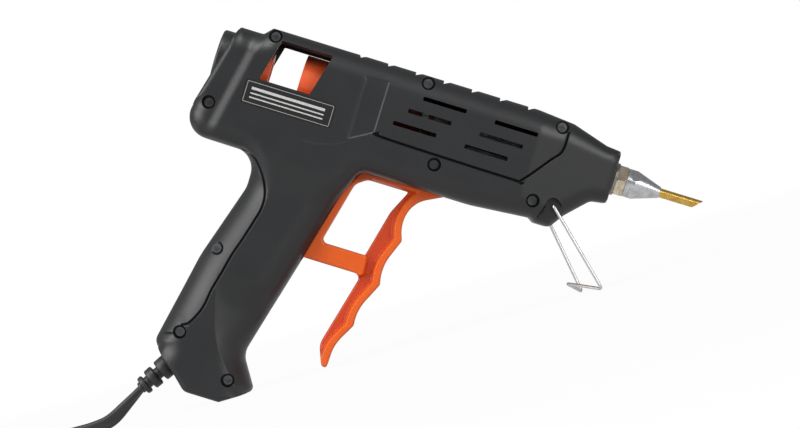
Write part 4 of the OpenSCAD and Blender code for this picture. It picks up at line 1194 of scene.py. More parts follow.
    def plug(self) -> bpy.types.Object:
        """Moulded two-blade plug: rounded-square sections along its axis, from a ridged neck to a broad grip.

        Half-width and half-height follow the axis by eased steps; a cosine adds ridges to the neck; the
        section is a superellipse whose power falls from round to square.

        Returns:
            The piece.
        """
        entry = np.array(self.plug_at)
        end, r = self.plug_length, self.plug_round
        long, thin, gain = self.neck
        pitch, deep = self.ridges
        rows = [np.linspace(*row) for row in self.plug_rows]
        corner = end - r * (1 - np.sin(np.linspace(*self.plug_corner)))
        s = np.concatenate([[0.0, 0.0], *rows, corner, [end, end]])
        first, last, level = self.ridge_span
        ridged = smooth(s - first) * (1 - smooth(s - last)) * (np.cos(s * 2 * np.pi / pitch) < level)
        neck = thin + gain * s / long - deep * ridged
        grow = smooth((s - self.grip_ease[0]) / self.grip_ease[1])
        tail = r * np.sqrt(1.0 - ((s - end + r) / r).clip(0, 1) ** 2) - r
        waist, near, far, ease = self.pinch
        pinch = waist * smooth((s - near) / ease) * (1 - smooth((s - far) / ease))
        half_w = neck + (self.plug_half[0] - neck) * grow + tail - pinch
        half_h = neck + (self.plug_half[1] - neck) * grow + tail
        half_w[[0, -1]], half_h[[0, -1]] = 0.0, 0.0
        a = angles(self.plug_sides)[None]
        power = (1.0 - self.plug_bow * grow)[:, None]
        x, z = half_w[:, None] * bowed(np.cos(a), power), half_h[:, None] * bowed(np.sin(a), power)
        points = np.stack([np.broadcast_to(entry[0] - s[:, None], x.shape), entry[1] - x, entry[2] + z], -1)
        piece = Surface().grid(points, wrap_v=True).piece("mains_plug", FLOOR)
        return settle(piece, RELIEF_BLACK, Rides.CASING, "plug", "plug_body")

    def build(self) -> None:
        lead, tie, plug = self.lead(), self.tie(), self.plug()
        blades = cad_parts["plug_blades"]
        CONTACT.dress(blades)
        path = self.path()[:, :3] * MILLIMETRE


@dataclass(frozen=True)
class Groove:
    """A line moulded into the casing's side."""

    path: tuple[Point, ...]
    depth: float
    half: float

    def line(self) -> Array:
        """The groove's middle as a smooth line."""
        return spline(np.array(self.path, float), 6)


@dataclass
class Casing:
    """The two moulded halves of the casing, as fine shells over the side outline."""

    outline: Outline = Outline((
        (0, 12.3, 1.2), (-7, 12.9, 8), (-24, 18, 14), (-41, 19.4, 6), (-165.5, 19.6, 1.6),
        (-169, 15.9, 1.6), (-180, 15.9, 1), (-193.4, -36.3, 10), (-156.6, -36.7, 9), (-156.8, -52, 12),
        (-167.8, -87.2, 60), (-176.2, -130.4, 5), (-162.4, -142, 2), (-156.4, -147.6, 5),
        (-140.1, -147.6, 1), (-127.046, -139.058, 2.2), (-136.2, -124.5, 9), (-115.4, -45, 12),
        (-109.8, -30.2, 5), (-58, -30.4, 30), (-31, -28.1, 2), (-28.5, -29.7, 2), (-21.5, -29.7, 3.2),
        (-16.8, -22.8, 12), (-7, -12.9, 6), (0, -11.8, 1),
    ))
    ends: tuple[float, ...] = (6.5, 11.5, 12.0, 12.5, 13.0, 13.5, 14.0, 14.5, 25.5)
    half_width: float = 21.5
    grip_half: float = 18.5
    nose_half: float = 13.0
    nose_length: float = 38.0
    top_round: float = 11.0
    low_round: float = 9.0
    grip_round: float = 13.0
    nose_round: float = 6.0
    end_round: float = 2.6
    grip_blend: Point = (-34.0, 18.0)
    side_blend: Point = (-10.0, 16.0)
    wall: float = 2.4
    thin_wall: float = 1.3
    widened: float = 0.6
    inner_least: float = 8.2
    split: float = 0.06
    slot: Point = (-128.0, -60.0, -76.45, -29.25, 7.85)
    collar_bore: Point = (-180.2, 13.25)
    nozzle_bore: Point = (-0.8, 7.05)
    relief_bore: Point = (-167.0, -138.5, 5.8, 0.9)
    notches: tuple[int, float, float, float, float] = (7, -44.6, 13.15, 3.0, 1.7)
    notch_across: Point = (0.5, 0.25, 0.0, -0.25, -0.47, -0.5, -0.7, -1.2, -1.7, -2.2, -2.7, -3.2)
    notch_down: Point = (0, 0.25, 0.5, 0.75, 1, 0, 0, 0, 0, 0, 0, 0)
    top_step: float = 0.9
    top_rear: float = -132.5
    vents: Point = (20.0, 1.9, -87.0, 33.4, 4.9, 1.6, 0.7, 7.1)
    vent_round: float = 0.45
    hole_step: float = 0.8
    window: Outline = Outline(((-164.7, -4.4, 0.8), (-141.1, -4.4, 0.8), (-136, 15, 0.8), (-159.6, 15, 0.8)))
    window_draft: Point = (0.29, 1.1)
    label: Outline = rectangle((-149.0, -11.0), (20.8, 5.55), 1.2)
    label_deep: float = 0.4
    step_line: tuple[Point, Point] = ((-168.0, 24.6), (-179.0, -31.2))
    step_deep: float = 1.9
    step_band: float = 6.0
    step_fade: Point = (-40.0, 7.0)
    screws: tuple[Point, ...] = (
        (-163.3, 16.1), (-92, 15.9), (-29, 14.7), (-32.3, -20.5), (-79, -18), (-183.3, -20.7), (-161, -82),
        (-165.8, -122.5), (-139, -137),
    )
    screw_seat: float = 12.0
    recess: float = 3.05
    recess_off: float = 0.4
    recess_rows: Point = (-0.04, 0.04, 0.4)
    recess_rows_inside: Point = (0.5, 0.7)
    recess_sides: int = 60
    pivot: Point = (-23.0, -19.7)
    pocket_floor: float = 15.6
    pocket_round: float = 3.2
    pocket_reach: float = 60.0
    pocket_edge: float = 0.35
    pocket_off: Point = (0.7, 0.6)
    pockets: dict[Side, Point] = field(default_factory=lambda: {
        Side.RIGHT: (-35.6, -109.6), Side.LEFT: (-45.2, -137.7)})
    grooves: tuple[Groove, ...] = (
        Groove(((-107, -12), (-103, -13.3), (-44, -14.2), (-40, -13.5), (-30, -1), (-26, 4.5),
                (-25.5, 13)), 1.3, 0.7),
        Groove(((-163, -36), (-157, -38), (-153, -42), (-149, -48), (-147, -54), (-147, -60), (-148.5, -66),
                (-151, -75), (-153.5, -83), (-155.5, -92), (-157.5, -100), (-158.5, -107), (-160, -112),
                (-163, -117.5), (-165.8, -119.3)), 1.2, 0.75),
        Groove(((-168.9, -124.0), (-172, -125), (-177, -126.5)), 0.9, 0.6),
        Groove(((-119.6, -19), (-124, -21.6), (-130, -23.5), (-138, -24.4)), 0.22, 0.9),
    )
    panel: Outline = Outline(((-119.6, -19, 1), (-108.3, -12.5, 1), (-108.3, 11.9, 1), (-119.6, 10.9, 1)))
    panel_deep: float = 0.4
    scoop: tuple[Point, ...] = (
        (-157.6, -92), (-156, -98), (-154.5, -104.6), (-152.8, -111), (-150.6, -117.7), (-147.2, -124.5),
        (-142.5, -130.6), (-137, -136.5), (-130.5, -144.5),
    )
    scoop_far: tuple[Point, ...] = ((-110.0, -150.0), (-100.0, -90.0), (-157.6, -90.0))
    scoop_deep: float = 4.1
    scoop_ease: float = 8.0
    scoop_fade: Point = (-90.0, 16.0)
    strap_end: tuple[Point, ...] = ((-169, -126), (-171, -135), (-170, -142), (-235, -142), (-235, -36))
    strap_slope: float = 0.3
    strap_reach: float = 13.0
    strap_fade: Point = (-36.0, 12.0)
    extent: tuple[Point, Point] = ((-196.0, -150.0), (2.0, 22.0))
    fineness: float = 0.95
    coarseness: float = 2.6
    edge_off: float = 0.045
    hole_off: float = 0.3
    rim_rows: Point = (0.06, 0.2, 0.45, 0.8, 1.3, 2.0, 2.9)
    lip_row: float = 1.2
    groove_rows: Point = (-1.05, -0.75, -0.4, 0.0, 0.4, 0.75, 1.05)
    groove_step: float = 0.45
    groove_off: float = 0.35
    pocket_rows: Point = (0.0, 0.18, 0.36)
    pocket_border: float = -0.1
    pocket_step: float = 0.35
    pocket_sides: int = 60
    step_rows: Point = (-0.5, -0.35, -0.2, 0.0, 0.2, 0.35, 0.5)
    scoop_rows: Point = (-0.3, 0.0, 0.3, -0.8, 0.8)
    scoop_step: float = 0.5
    scoop_off: float = 1.1
    panel_rows: Point = (0.0, 0.25, 0.5, 0.75, 1.0)
    panel_off: float = 1.3
    label_rows: Point = (-0.03, 0.03)
    label_step: float = 0.4
    label_off: float = 0.4
    relief_step: float = 0.8
    top_side: int = 3
    heel_and_toe: tuple[int, int] = (11, 12)

    def __post_init__(self) -> None:
        """Keep the un-notched outline's segments, sorted into long edges and ends."""
        points, _, owner = self.outline.trace(1.2)
        starts, stops = closed(points)
        at_end = np.isin(owner, self.ends)
        self.long_edges = starts[~at_end], stops[~at_end]
        self.end_edges = starts[at_end], stops[at_end]

    def rim(self, inset: float = 0.0) -> tuple[Array, Array]:
        """The outline with its top notches, and the depth of the notch at each point."""
        count, first, pitch, width, deep = self.notches
        middle = first - pitch * np.arange(count)
        _, r, _, turn = self.outline.arcs(0.0)
        front, rear = self.top_side, self.top_side + 1
        right = self.outline.corners[front][0] - r[front] * math.tan(abs(turn[front]) / 2)
        left = self.outline.corners[rear][0] + r[rear] * math.tan(abs(turn[rear]) / 2)
        across, down = np.array(self.notch_across) * width, np.array(self.notch_down) * deep
        behind = np.arange(self.top_rear, left + 0.4, -self.top_step)
        x = np.concatenate([[right - self.top_step], (middle[:, None] + across).ravel(), behind])
        value = np.concatenate([[0.0], np.tile(down, count), np.zeros(len(x) - 1 - count * len(down))])
        share = (x - right) / (left - right)
        marks = {self.top_side: np.stack([share, value], -1)}
        return self.outline.trace(self.fineness, inset, marks)[:2]

    def holes(self) -> list[Array]:
        """Outlines of the stick window and the six vent slots."""
        long, high, x0, group_x, row_x, z0, group_z, row_z = self.vents
        made = [self.window.loop(self.hole_step)]
        for group in (0, 1):
            for row in (-1, 0, 1):
                middle = x0 + group_x * group + row_x * row, z0 - group_z * group + row_z * row
                vent = rectangle(middle, (long / 2, high / 2), self.vent_round)
                made.append(vent.loop(self.hole_step))
        return made

    def drafted(self, window: Array) -> Array:
        """The window's outline at the shell's inner face, where its top edge stands lower by the draft."""
        low, high = window[:, 1:].min(), window[:, 1:].max()
        return window - (window[:, 1:] - low) / (high - low) * np.array(self.window_draft)

    def pocket(self, side: Side) -> Array:
        """Outline of the wedge in which a leg of the stand swings, as in the source."""
        first, last = self.pockets[side]
        turn = np.radians([first + 90, first, (first + last) / 2, last, last - 90])
        reach = np.array([self.pocket_round, *(self.pocket_reach,) * 3, self.pocket_round])
        return np.array(self.pivot) + reach[:, None] * np.stack([np.cos(turn), np.sin(turn)], -1)

    def form(self, p: Array) -> Array:
        """Half-width of the moulded form before its cuts.

        A width W that narrows at the nose and on the grip is rounded by a quarter circle of radius R along
        the long edges: W - R (1 - sqrt(1 - (1 - d / R)^2)) at distance d, and by a small one at the ends.

        Args:
            p: places on the side, as x and z.

        Returns:
            The half-width at each place.
        """
        x, z = p[:, 0], p[:, 1]
        nose = np.clip((x + self.nose_length) / self.nose_length, 0.0, 1.0)
        grip = smooth((self.grip_blend[0] - z) / self.grip_blend[1])
        a, b = np.array(self.step_line)
        back = unit(np.array([b[1] - a[1], a[0] - b[0]]))
        behind = (p - a) @ back
        wide = self.half_width + (self.grip_half - self.half_width) * grip
        wide = wide + (self.nose_half - self.half_width) * nose
        fade = smooth((z - self.step_fade[0]) / self.step_fade[1])
        wide = wide - self.step_deep * smooth(behind / self.step_band + 0.5) * fade
        high = smooth((z - self.side_blend[0]) / self.side_blend[1])
        r = self.low_round + (self.top_round - self.low_round) * high
        r = r + (self.grip_round - r) * grip
        r = r + (self.nose_round - r) * smooth(nose)
        along = quarter(segment_distance(p, *self.long_edges), r)
        return wide - np.maximum(along, quarter(segment_distance(p, *self.end_edges), self.end_round))

    def scoop_line(self) -> Array:
        """Border of the hollow at the grip's front, as a smooth line."""
        return spline(np.array(self.scoop, float), 6)

    def scooped(self, p: Array) -> Array:
        """Depth of the hollow at the grip's front: it grows as 1 - exp(-d / ease) and fades out upward."""
        line = self.scoop_line()
        region = np.concatenate([line, self.scoop_far])
        gap = segment_distance(p, *opened(line)) * inside(p, region)
        fade = smooth((self.scoop_fade[0] - p[:, 1]) / self.scoop_fade[1])
        return self.scoop_deep * (1.0 - np.exp(-gap / self.scoop_ease)) * fade

    def strapped(self, p: Array) -> Array:
        """Depth of the back strap's bevel: an even slope away from its groove, as far as its reach."""
        line = self.grooves[1].line()
        region = np.concatenate([line, np.array(self.strap_end, float)])
        edge = np.concatenate([line, np.array(self.strap_end[:3], float)])
        gap = segment_distance(p, *opened(edge)) * inside(p, region)
        fade = smooth((self.strap_fade[0] - p[:, 1]) / self.strap_fade[1])
        return self.strap_slope * np.minimum(gap, self.strap_reach) * fade

    def height(self, p: Array, side: Side, widen: float = 0.0) -> Array:
        """Half-width with grooves, strap, panel, scoop, stand pocket, label seat and screw recesses cut in.

        Args:
            p: places on the side, as x and z.
            side: which half.
            widen: how much wider recesses are, for the inner surface.

        Returns:
            The half-width at each place.
        """
        h = self.form(p)
        for groove in self.grooves:
            gap = segment_distance(p, *opened(groove.line()))
            h = h - groove.depth * (1.0 - smooth(gap / groove.half))
        sunk = smooth(depth_in(p, self.panel.loop(self.relief_step)))
        h = h - self.panel_deep * sunk - self.scooped(p) - self.strapped(p)
        into = self.pocket_round - np.linalg.norm(p - np.array(self.pivot), axis=1)
        into = np.maximum(depth_in(p, self.pocket(side)), into)
        h = h + (np.minimum(h, self.pocket_floor) - h) * smooth((into + widen) / self.pocket_edge)
        if side is Side.RIGHT:
            h = h - self.label_deep * inside(p, self.label.loop(self.relief_step))
            away = np.linalg.norm(p[:, None] - np.array(self.screws, float), axis=2).min(1)
            h = np.where(away < self.recess + widen, np.minimum(h, self.screw_seat), h)
        return h

    def parting(self, p: Array) -> Array:
        """How far the rim stays from the mid plane, clear of trigger, collar, nozzle and strain relief."""
        x, z = p[:, 0], p[:, 1]
        left, right, low, high, half = self.slot
        y = np.where((x > left) & (x < right) & (z > low) & (z < high), half, self.split)
        heel, toe = (np.array(self.outline.corners[k][:2]) for k in self.heel_and_toe)
        way = unit(toe - heel)
        gap = p - np.array(self.relief_bore[:2])
        radius, reach = self.relief_bore[2:]
        bores = (
            (x < self.collar_bore[0], z, self.collar_bore[1]),
            (x > self.nozzle_bore[0], z, self.nozzle_bore[1]),
            (np.abs(gap @ np.array([-way[1], way[0]])) < reach, gap @ way, radius),
        )
        for where, off, r in bores:
            y = np.where(where, np.maximum(y, np.sqrt(np.clip(r**2 - off**2, 0, None))), y)
        return y

    def features(self, side: Side) -> list[tuple[tuple[Array, Array], float]]:
        """Lines of the relief, each with how far the even points keep off it."""
        reach = self.groove_rows[-1]
        grooves = [(opened(g.line()), g.half * reach + self.groove_off) for g in self.grooves]
        panel, label = (closed(line.loop(self.relief_step)) for line in (self.panel, self.label))
        return [
            *grooves, (opened(self.scoop_line()), self.scoop_off), (panel, self.panel_off),
            (closed(self.pocket(side)), self.pocket_off[0]), (label, self.label_off),
        ]

    def scatter(self, side: Side, edge: Array, holes: list[Array], fine: bool) -> Array:
        """Points that carry the side's relief: lattice, rings along the rim, and rows beside each cut.

        Args:
            side: which half.
            edge: the rim.
            holes: outlines of the through holes.
            fine: whether for the outer surface.

        Returns:
            The points that lie inside the rim and clear of its edges and holes.
        """
        step = self.fineness if fine else self.coarseness
        deep = self.rim_rows if fine else (self.wall + self.lip_row,)
        rims = [self.outline.loop(step, d) for d in deep]
        even = np.concatenate([hexes(*self.extent, step), *rims])
        even = even[inside(even, edge)]
        for line, reach in self.features(side):
            even = even[segment_distance(even, *line) > reach]
        off_pivot = np.linalg.norm(even - np.array(self.pivot), axis=1) - self.pocket_round
        made = [even[np.abs(off_pivot) > self.pocket_off[1]]]
        made.append(rows_beside(self.pocket(side), (*self.pocket_rows, self.pocket_border), self.pocket_step))
        made += [circle(self.pivot, self.pocket_round - k, self.pocket_sides) for k in self.pocket_rows]
        if fine:
            made += [rows_beside(g.line(), tuple(g.half * k for k in self.groove_rows), self.groove_step)
                     for g in self.grooves]
            made.append(rows_beside(self.scoop_line(), self.scoop_rows, self.scoop_step))
            band = tuple(self.step_band * k for k in self.step_rows)
            made.append(rows_beside(np.array(self.step_line, float), band, self.relief_step))
            made += [self.panel.loop(self.relief_step, k) for k in self.panel_rows]
        if side is Side.RIGHT:
            others = np.concatenate(made)
            away = np.linalg.norm(others[:, None] - np.array(self.screws, float), axis=2).min(1)
            made = [others[np.abs(away - self.recess) > self.recess_off]]
            made += [self.label.loop(self.label_step, k) for k in self.label_rows]
            spread = self.recess_rows if fine else self.recess_rows_inside
            made += [circle(s, self.recess + k, self.recess_sides) for s in self.screws for k in spread]
        points = np.concatenate(made)
        points = points[inside(points, edge)]
        clear = segment_distance(points, *closed(edge)) > self.edge_off
        for hole in holes:
            clear &= depth_in(points, hole) <= -self.hole_off
        return points[clear]

    def half(self, side: Side) -> bpy.types.Object:
        """One half: outer side, rim, parting face, inner side and the walls of its holes.

        Args:
            side: which half.

        Returns:
            The piece.
        """
        s = side.value
        plain, depth = self.rim()
        edge = plain - np.stack([0 * depth, depth], -1)
        lip = self.rim(self.wall)[0]
        holes = self.holes()
        deep_holes = [self.drafted(holes[0]), *holes[1:]]
        low = self.parting(edge)

        def outer(p: Array) -> Array:
            """Outer half-width, clear of the parting."""
            return np.maximum(self.height(p, side), self.parting(p) + self.split / 2)

        def inner(p: Array) -> Array:
            """Inner half-width: a wall's thickness in, and under every cut."""
            cut = self.height(p, side, self.widened) - self.thin_wall
            return np.maximum(np.minimum(self.form(p) - self.wall, cut), self.inner_least)

        made = Surface()
        flat, threes = fill([edge, *holes], self.scatter(side, edge, holes, True))
        made.sheet(flat, threes, s * outer(flat))
        made.wall(edge, s * low, s * outer(edge), 5)
        made.wall(edge, s * low, s * low, 2, lip)
        made.wall(lip, s * low, s * inner(lip), 3)
        flat, threes = fill([lip, *deep_holes], self.scatter(side, lip, deep_holes, False))
        made.sheet(flat, threes, s * inner(flat))
        for hole, deep in zip(holes, deep_holes):
            made.wall(hole, s * outer(hole), s * inner(deep), 3, deep)
        name = side.name.lower()
        return settle(made.piece(f"{name}_shell", GUN), CHARCOAL, Rides.CASING, "casing", f"{name}_casing")

    def build(self) -> None:
        """Make both halves and dress the screws and the label."""
        for side in Side:
            self.half(side)
        SCREW.dress(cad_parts["casing_screws"])
        LABEL.dress(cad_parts["rating_label"])


def low_corners(corners: tuple[Point, ...]) -> tuple[Point, ...]:
    """Corners measured from the casing's rear corner and underside, in the gun's frame."""
    return tuple((x - REAR_LOW[0], z - REAR_LOW[1], r) for x, z, r in corners)


@dataclass
class Trigger:
    """The orange trigger: a rounded plate with three finger hollows, a window and sunk sides."""

    fingers: tuple[Point, ...] = (
        (94.7, -17.3, 16), (97.3, -24.8, 1.8), (92, -38.3, 22), (93.6, -46.6, 2), (87.1, -60.3, 22),
        (87.6, -67.6, 2), (81.7, -78.3, 22),
    )
    rear: tuple[Point, ...] = (
        (109.5, -0.3, 0.3), (109, 0.6, 0.3), (71, 0.6, 0.6), (64.2, -11.8, 14), (56.4, -44.6, 0.6),
        (84.2, -44.6, 2.5), (75.2, -80.1, 9), (79, -89, 1.6), (81.4, -89.4, 1.2),
    )
    tip: Point = (97.2, -6.6, 13)
    opening: tuple[Point, ...] = (
        (62.4, -35.8, 2.2), (83.2, -35.8, 0.8), (88.5, -13.8, 15), (93.7, -2.8, 0.6), (74.5, -2.8, 5),
        (69.5, -6.3, 6),
    )
    sunk: tuple[Point, ...] = (
        (78.4, -85.6, 0.8), (73.5, -85.6, 0.3), (71.5, -80.5, 0.3), (80.4, -46.8, 0.3), (84.4, -44, 0.6),
        (83.9, -37.2, 0.6), (81.8, -34.2, 0.3), (86.3, -14.4, 0.3), (89.9, -5.4, 0.3), (76, -4.9, 0.3),
        (75, -1.2, 0.3), (98.2, -1.2, 0.5), (94.3, -7.6, 6),
    )
    half: float = 7.5
    edge_round: float = 1.0
    finger_edge: float = 3.0
    deep: float = 3.0
    slope: float = 1.8
    edge_rows: Point = (0.05, 0.15, 0.32, 0.56, 0.85, 1.15)
    slope_rows: Point = (-0.06, 0.0, 0.1, 0.25, 0.4, 0.6, 0.75, 0.9, 1.0, 1.06)
    step: float = 0.7
    slope_step: float = 0.45
    even_step: float = 1.0
    slope_off: float = 0.4
    even_off: float = 1.45
    edge_off: float = 0.04
    wall_rows: int = 9
    link: Point = (-131.0, -41.0)
    ear: Point = (3.8, 6.5)
    ear_half: float = 3.6
    ear_round: float = 3.4
    ear_front: float = -113.0
    bar: Outline = Outline(((-131, -74.8, 0.8), (-120, -74.8, 0.4), (-120, -66, 0.4), (-131, -66, 0.8)))
    bar_half: float = 5.5
    spigot: tuple[Point, ...] = ((-136, 0.0), (-136, 1.9), (-135.5, 2.4), (-130, 2.4), (-130, 0.0))
    spring_at: Point = (-131.0, -70.4)
    spring_turns: int = 7
    spring_long: float = 24.0
    spring_shut: float = 10.0
    spring_wire: float = 1.0
    spring_mean: float = 3.5
    spring_play: float = 0.05
    spring_steps: int = 36
    spring_sides: int = 12

    def loops(self) -> tuple[Outline, Outline, Outline]:
        """The plate's outline, its window and the sunk field of its sides."""
        outer = Outline(low_corners((*self.rear, *self.fingers[::-1], self.tip)))
        field_corners = (*self.sunk, *((x - self.finger_edge, z, r) for x, z, r in self.fingers))
        return outer, Outline(low_corners(self.opening)), Outline(low_corners(field_corners[::-1]))

    def height(self, p: Array) -> Array:
        """Half-width: rounded by a quarter circle at every edge, less the sunk field with sloped sides.

        Args:
            p: places on the side, as x and z.

        Returns:
            The half-width at each place.
        """
        outer, window, sunk = (line.loop(self.step) for line in self.loops())
        near = np.minimum(segment_distance(p, *closed(outer)), segment_distance(p, *closed(window)))
        sunken = self.deep * smooth(depth_in(p, sunk) / self.slope)
        return self.half - quarter(near, self.edge_round) - sunken

    def plate(self, made: Surface) -> None:
        """Both sides of the plate and the walls of its outline and window."""
        outer, window, sunk = self.loops()
        edge, hole = outer.loop(self.step), window.loop(self.step)

        def clear(p: Array, gap: float) -> Array:
            """Points farther than a gap from the outline and the window."""
            near = np.minimum(segment_distance(p, *closed(edge)), segment_distance(p, *closed(hole)))
            return p[near > gap]

        rings = [line.loop(self.step, sign * d) for line, sign in ((outer, 1.0), (window, -1.0))
                 for d in self.edge_rows]
        rings += [sunk.loop(self.slope_step, self.slope * k) for k in self.slope_rows]
        even, middle = hexes(tuple(edge.min(0)), tuple(edge.max(0)), self.even_step), self.slope / 2
        even = even[np.abs(depth_in(even, sunk.loop(self.step)) - middle) > middle + self.slope_off]
        points = np.concatenate([clear(even, self.even_off), *rings])
        points = points[inside(points, edge) & ~inside(points, hole)]
        flat, threes = fill([edge, hole], clear(points, self.edge_off))
        for sign in (-1.0, 1.0):
            made.sheet(flat, threes, sign * self.height(flat))
        for line in (edge, hole):
            h = self.height(line)
            made.wall(line, -h, h, self.wall_rows)

    def block(self, made: Surface, outline: Outline, low: float, high: float) -> None:
        """A plain plate of an outline between two heights along y."""
        loop = outline.loop(1.0)
        flat, threes = fill([loop], np.zeros((0, 2)))
        for y in (low, high):
            made.sheet(flat, threes, np.full(len(flat), y))
        made.wall(loop, np.full(len(loop), low), np.full(len(loop), high), 2)

    def build(self) -> None:
        """Make the trigger with its ears, spring bar and spigot."""
        made = Surface()
        self.plate(made)
        x, z = self.link
        back, low, high = x - self.ear_half, z - self.ear_half, z + self.ear_half
        ear = Outline(((back, low, self.ear_round), (self.ear_front, low, 0.4),
                       (self.ear_front, high, 0.4), (back, high, self.ear_round)))
        inner, outer = self.ear
        for outline, low, high in ((ear, inner, outer), (ear, -outer, -inner),
                                   (self.bar, -self.bar_half, self.bar_half)):
            self.block(made, outline, low, high)
        spigot = turned(np.array(self.spigot), 32) + np.array([0.0, 0.0, self.spring_at[1]])
        made.grid(spigot, wrap_v=True)
        settle(made.piece("trigger_plate", GUN), ORANGE, Rides.TRIGGER, "trigger", "trigger")
        ZINC.dress(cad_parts["trigger_pin"])
        self.spring()

    def spring(self) -> None:
        """Return spring: a round wire along a helix behind the spigot, carried on the trigger's body."""
        x, z = self.spring_at
        wire, mean, play = self.spring_wire, self.spring_mean, self.spring_play
        t = np.linspace(0.0, 1.0, self.spring_turns * self.spring_steps + 1)
        a = 2 * np.pi * self.spring_turns * t
        along = x - play - wire / 2 - t * (self.spring_long - wire - 2 * play)
        path = np.stack([along, mean * np.cos(a), z + mean * np.sin(a)], -1)
        out = np.stack([0 * t, np.cos(a), np.sin(a)], -1)
        way = ways(path)
        over = unit(np.cross(way, out))
        section = circle((0.0, 0.0), wire / 2, self.spring_sides)
        made = Surface().sweep(path, section, np.cross(over, way), over)
        piece = settle(made.piece("return_spring", GUN), ZINC, Rides.TRIGGER, "steel", "trigger_spring")
        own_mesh(piece)


@dataclass
class Nozzle:
    """Washer, nut, milled cone and slanted needle, all turned about the stick's axis."""

    washer: Point = (0.3, 1.8, 7.4)
    edge: float = 0.2
    thread: float = 5.05
    washer_sides: int = 72
    nut: Point = (1.8, 5.8, 13.2)
    nut_front: Point = (0.4, 0.9, 1.5)
    nut_back: Point = (0.2, 0.6, 0.5)
    nut_rows: int = 24
    nut_sides: int = 144
    cone: Point = (5.8, 10.4, 22.3)
    cone_r: Point = (6.5, 2.6)
    cone_edge: float = 0.3
    cone_tip: Point = (0.25, 0.2)
    cone_rows: tuple[int, int] = (12, 60)
    cone_sides: int = 160
    thread_deep: float = 4.5
    flat_at: float = 5.6
    flat_span: Point = (2.4, 4.0)
    flat_least: float = 3.0
    socket_r: float = 2.15
    socket_deep: float = 4.0
    needle: Point = (18.3, 42.3)
    needle_r: Point = (2.1, 1.2)
    needle_edge: Point = (0.15, 0.1)
    needle_rows: tuple[int, int] = (40, 12)
    needle_sides: int = 48

    def build_washer(self) -> None:
        """Flat washer with broken edges."""
        a, b, r = self.washer
        c = self.edge
        line = np.array([(a, self.thread), (a, r - c), (a + c, r), (b - c, r), (b, r - c), (b, self.thread)])
        piece = Surface().ring(line, self.washer_sides).piece("nozzle_ring", GUN)
        settle(piece, RING, Rides.CASING, "steel", "nozzle_washer")

    def build_nut(self) -> None:
        """Hexagon nut: the radius is held by the nearest of six flats and by a chamfer cone."""
        a, b, across = self.nut
        x = np.concatenate([[a], np.linspace(a, b, self.nut_rows), [b]])
        flat = across / 2 / np.cos(np.mod(angles(self.nut_sides), np.pi / 3) - np.pi / 6)
        top = across / 2 / math.cos(math.pi / 6)
        over, fall, bow = self.nut_front
        front = top + over - fall * (x - b + 1.0).clip(0, 1) ** bow
        over, fall, long = self.nut_back
        chamfer = np.minimum(front, top + over - fall * ((a + long - x) / long).clip(0, 1))
        r = np.minimum(flat[None], chamfer[:, None])
        r[[0, -1]] = self.thread
        form = np.stack(np.broadcast_arrays(x[:, None], r), -1)
        piece = Surface().ring(form, self.nut_sides).piece("nozzle_hexagon", GUN, 25.0)
        settle(piece, NICKEL, Rides.CASING, "brass", "nozzle_nut")

    def build_cone(self) -> None:
        """Cone with four milled flats: the radius is the least of the turned profile and nearest flat."""
        a, b, c = self.cone
        big, small = self.cone_r
        seat, socket, edge = self.needle_r[1], self.socket_r, self.cone_edge
        (short, blunt), (rows, taper_rows) = self.cone_tip, self.cone_rows
        taper_end, thread_end, socket_end = c - short, a + self.thread_deep, c - self.socket_deep
        x = np.concatenate([np.linspace(a + 0.5, b, rows), np.linspace(b, taper_end, taper_rows)[1:]])
        line = np.concatenate([
            [(a, self.thread), (a, big - edge), (a + edge, big)],
            np.stack([x, np.interp(x, (b, taper_end), (big, small))], -1),
            [(c, small - blunt), (c, socket), (socket_end, socket), (socket_end, seat),
             (thread_end, seat), (thread_end, self.thread)],
        ])
        x, r = line[:, :1], line[:, 1:]
        flat = self.flat_at / np.cos(np.mod(angles(self.cone_sides), np.pi / 2) - np.pi / 4)
        milled = (x > a + self.flat_span[0]) & (x < c - self.flat_span[1]) & (r > self.flat_least)
        form = np.stack(np.broadcast_arrays(x, np.where(milled, np.minimum(r, flat), r)), -1)
        piece = Surface().ring(form, self.cone_sides).piece("nozzle_body", GUN, 24.0)
        settle(piece, SILVER, Rides.CASING, "nozzle", "nozzle_cone")

    def build_needle(self) -> None:
        """Needle tube whose end is cut at 45 degrees: at height z the end lies r - z short of the tip."""
        start, tip = self.needle
        outer, inner = self.needle_r
        (out, back), (blunt, bevel) = self.needle_rows, self.needle_edge
        share = np.concatenate([np.linspace(0, 1, out), [1.0, 1.0], np.linspace(1, 0, back)])[:, None]
        tip_r = [outer - blunt, inner + bevel]
        r = np.concatenate([np.full(out, outer), tip_r, np.full(back, inner)])[:, None]
        end = tip - (outer - r * np.sin(angles(self.needle_sides)))
        form = np.stack(np.broadcast_arrays(start + share * (end - start), r), -1)
        piece = Surface().ring(form, self.needle_sides).piece("needle", GUN, 30.0)
        settle(piece, BRASS, Rides.CASING, "brass", "needle_tube")

    def build(self) -> None:
        """Make the four pieces."""
        self.build_washer()
        self.build_nut()
        self.build_cone()
        self.build_needle()


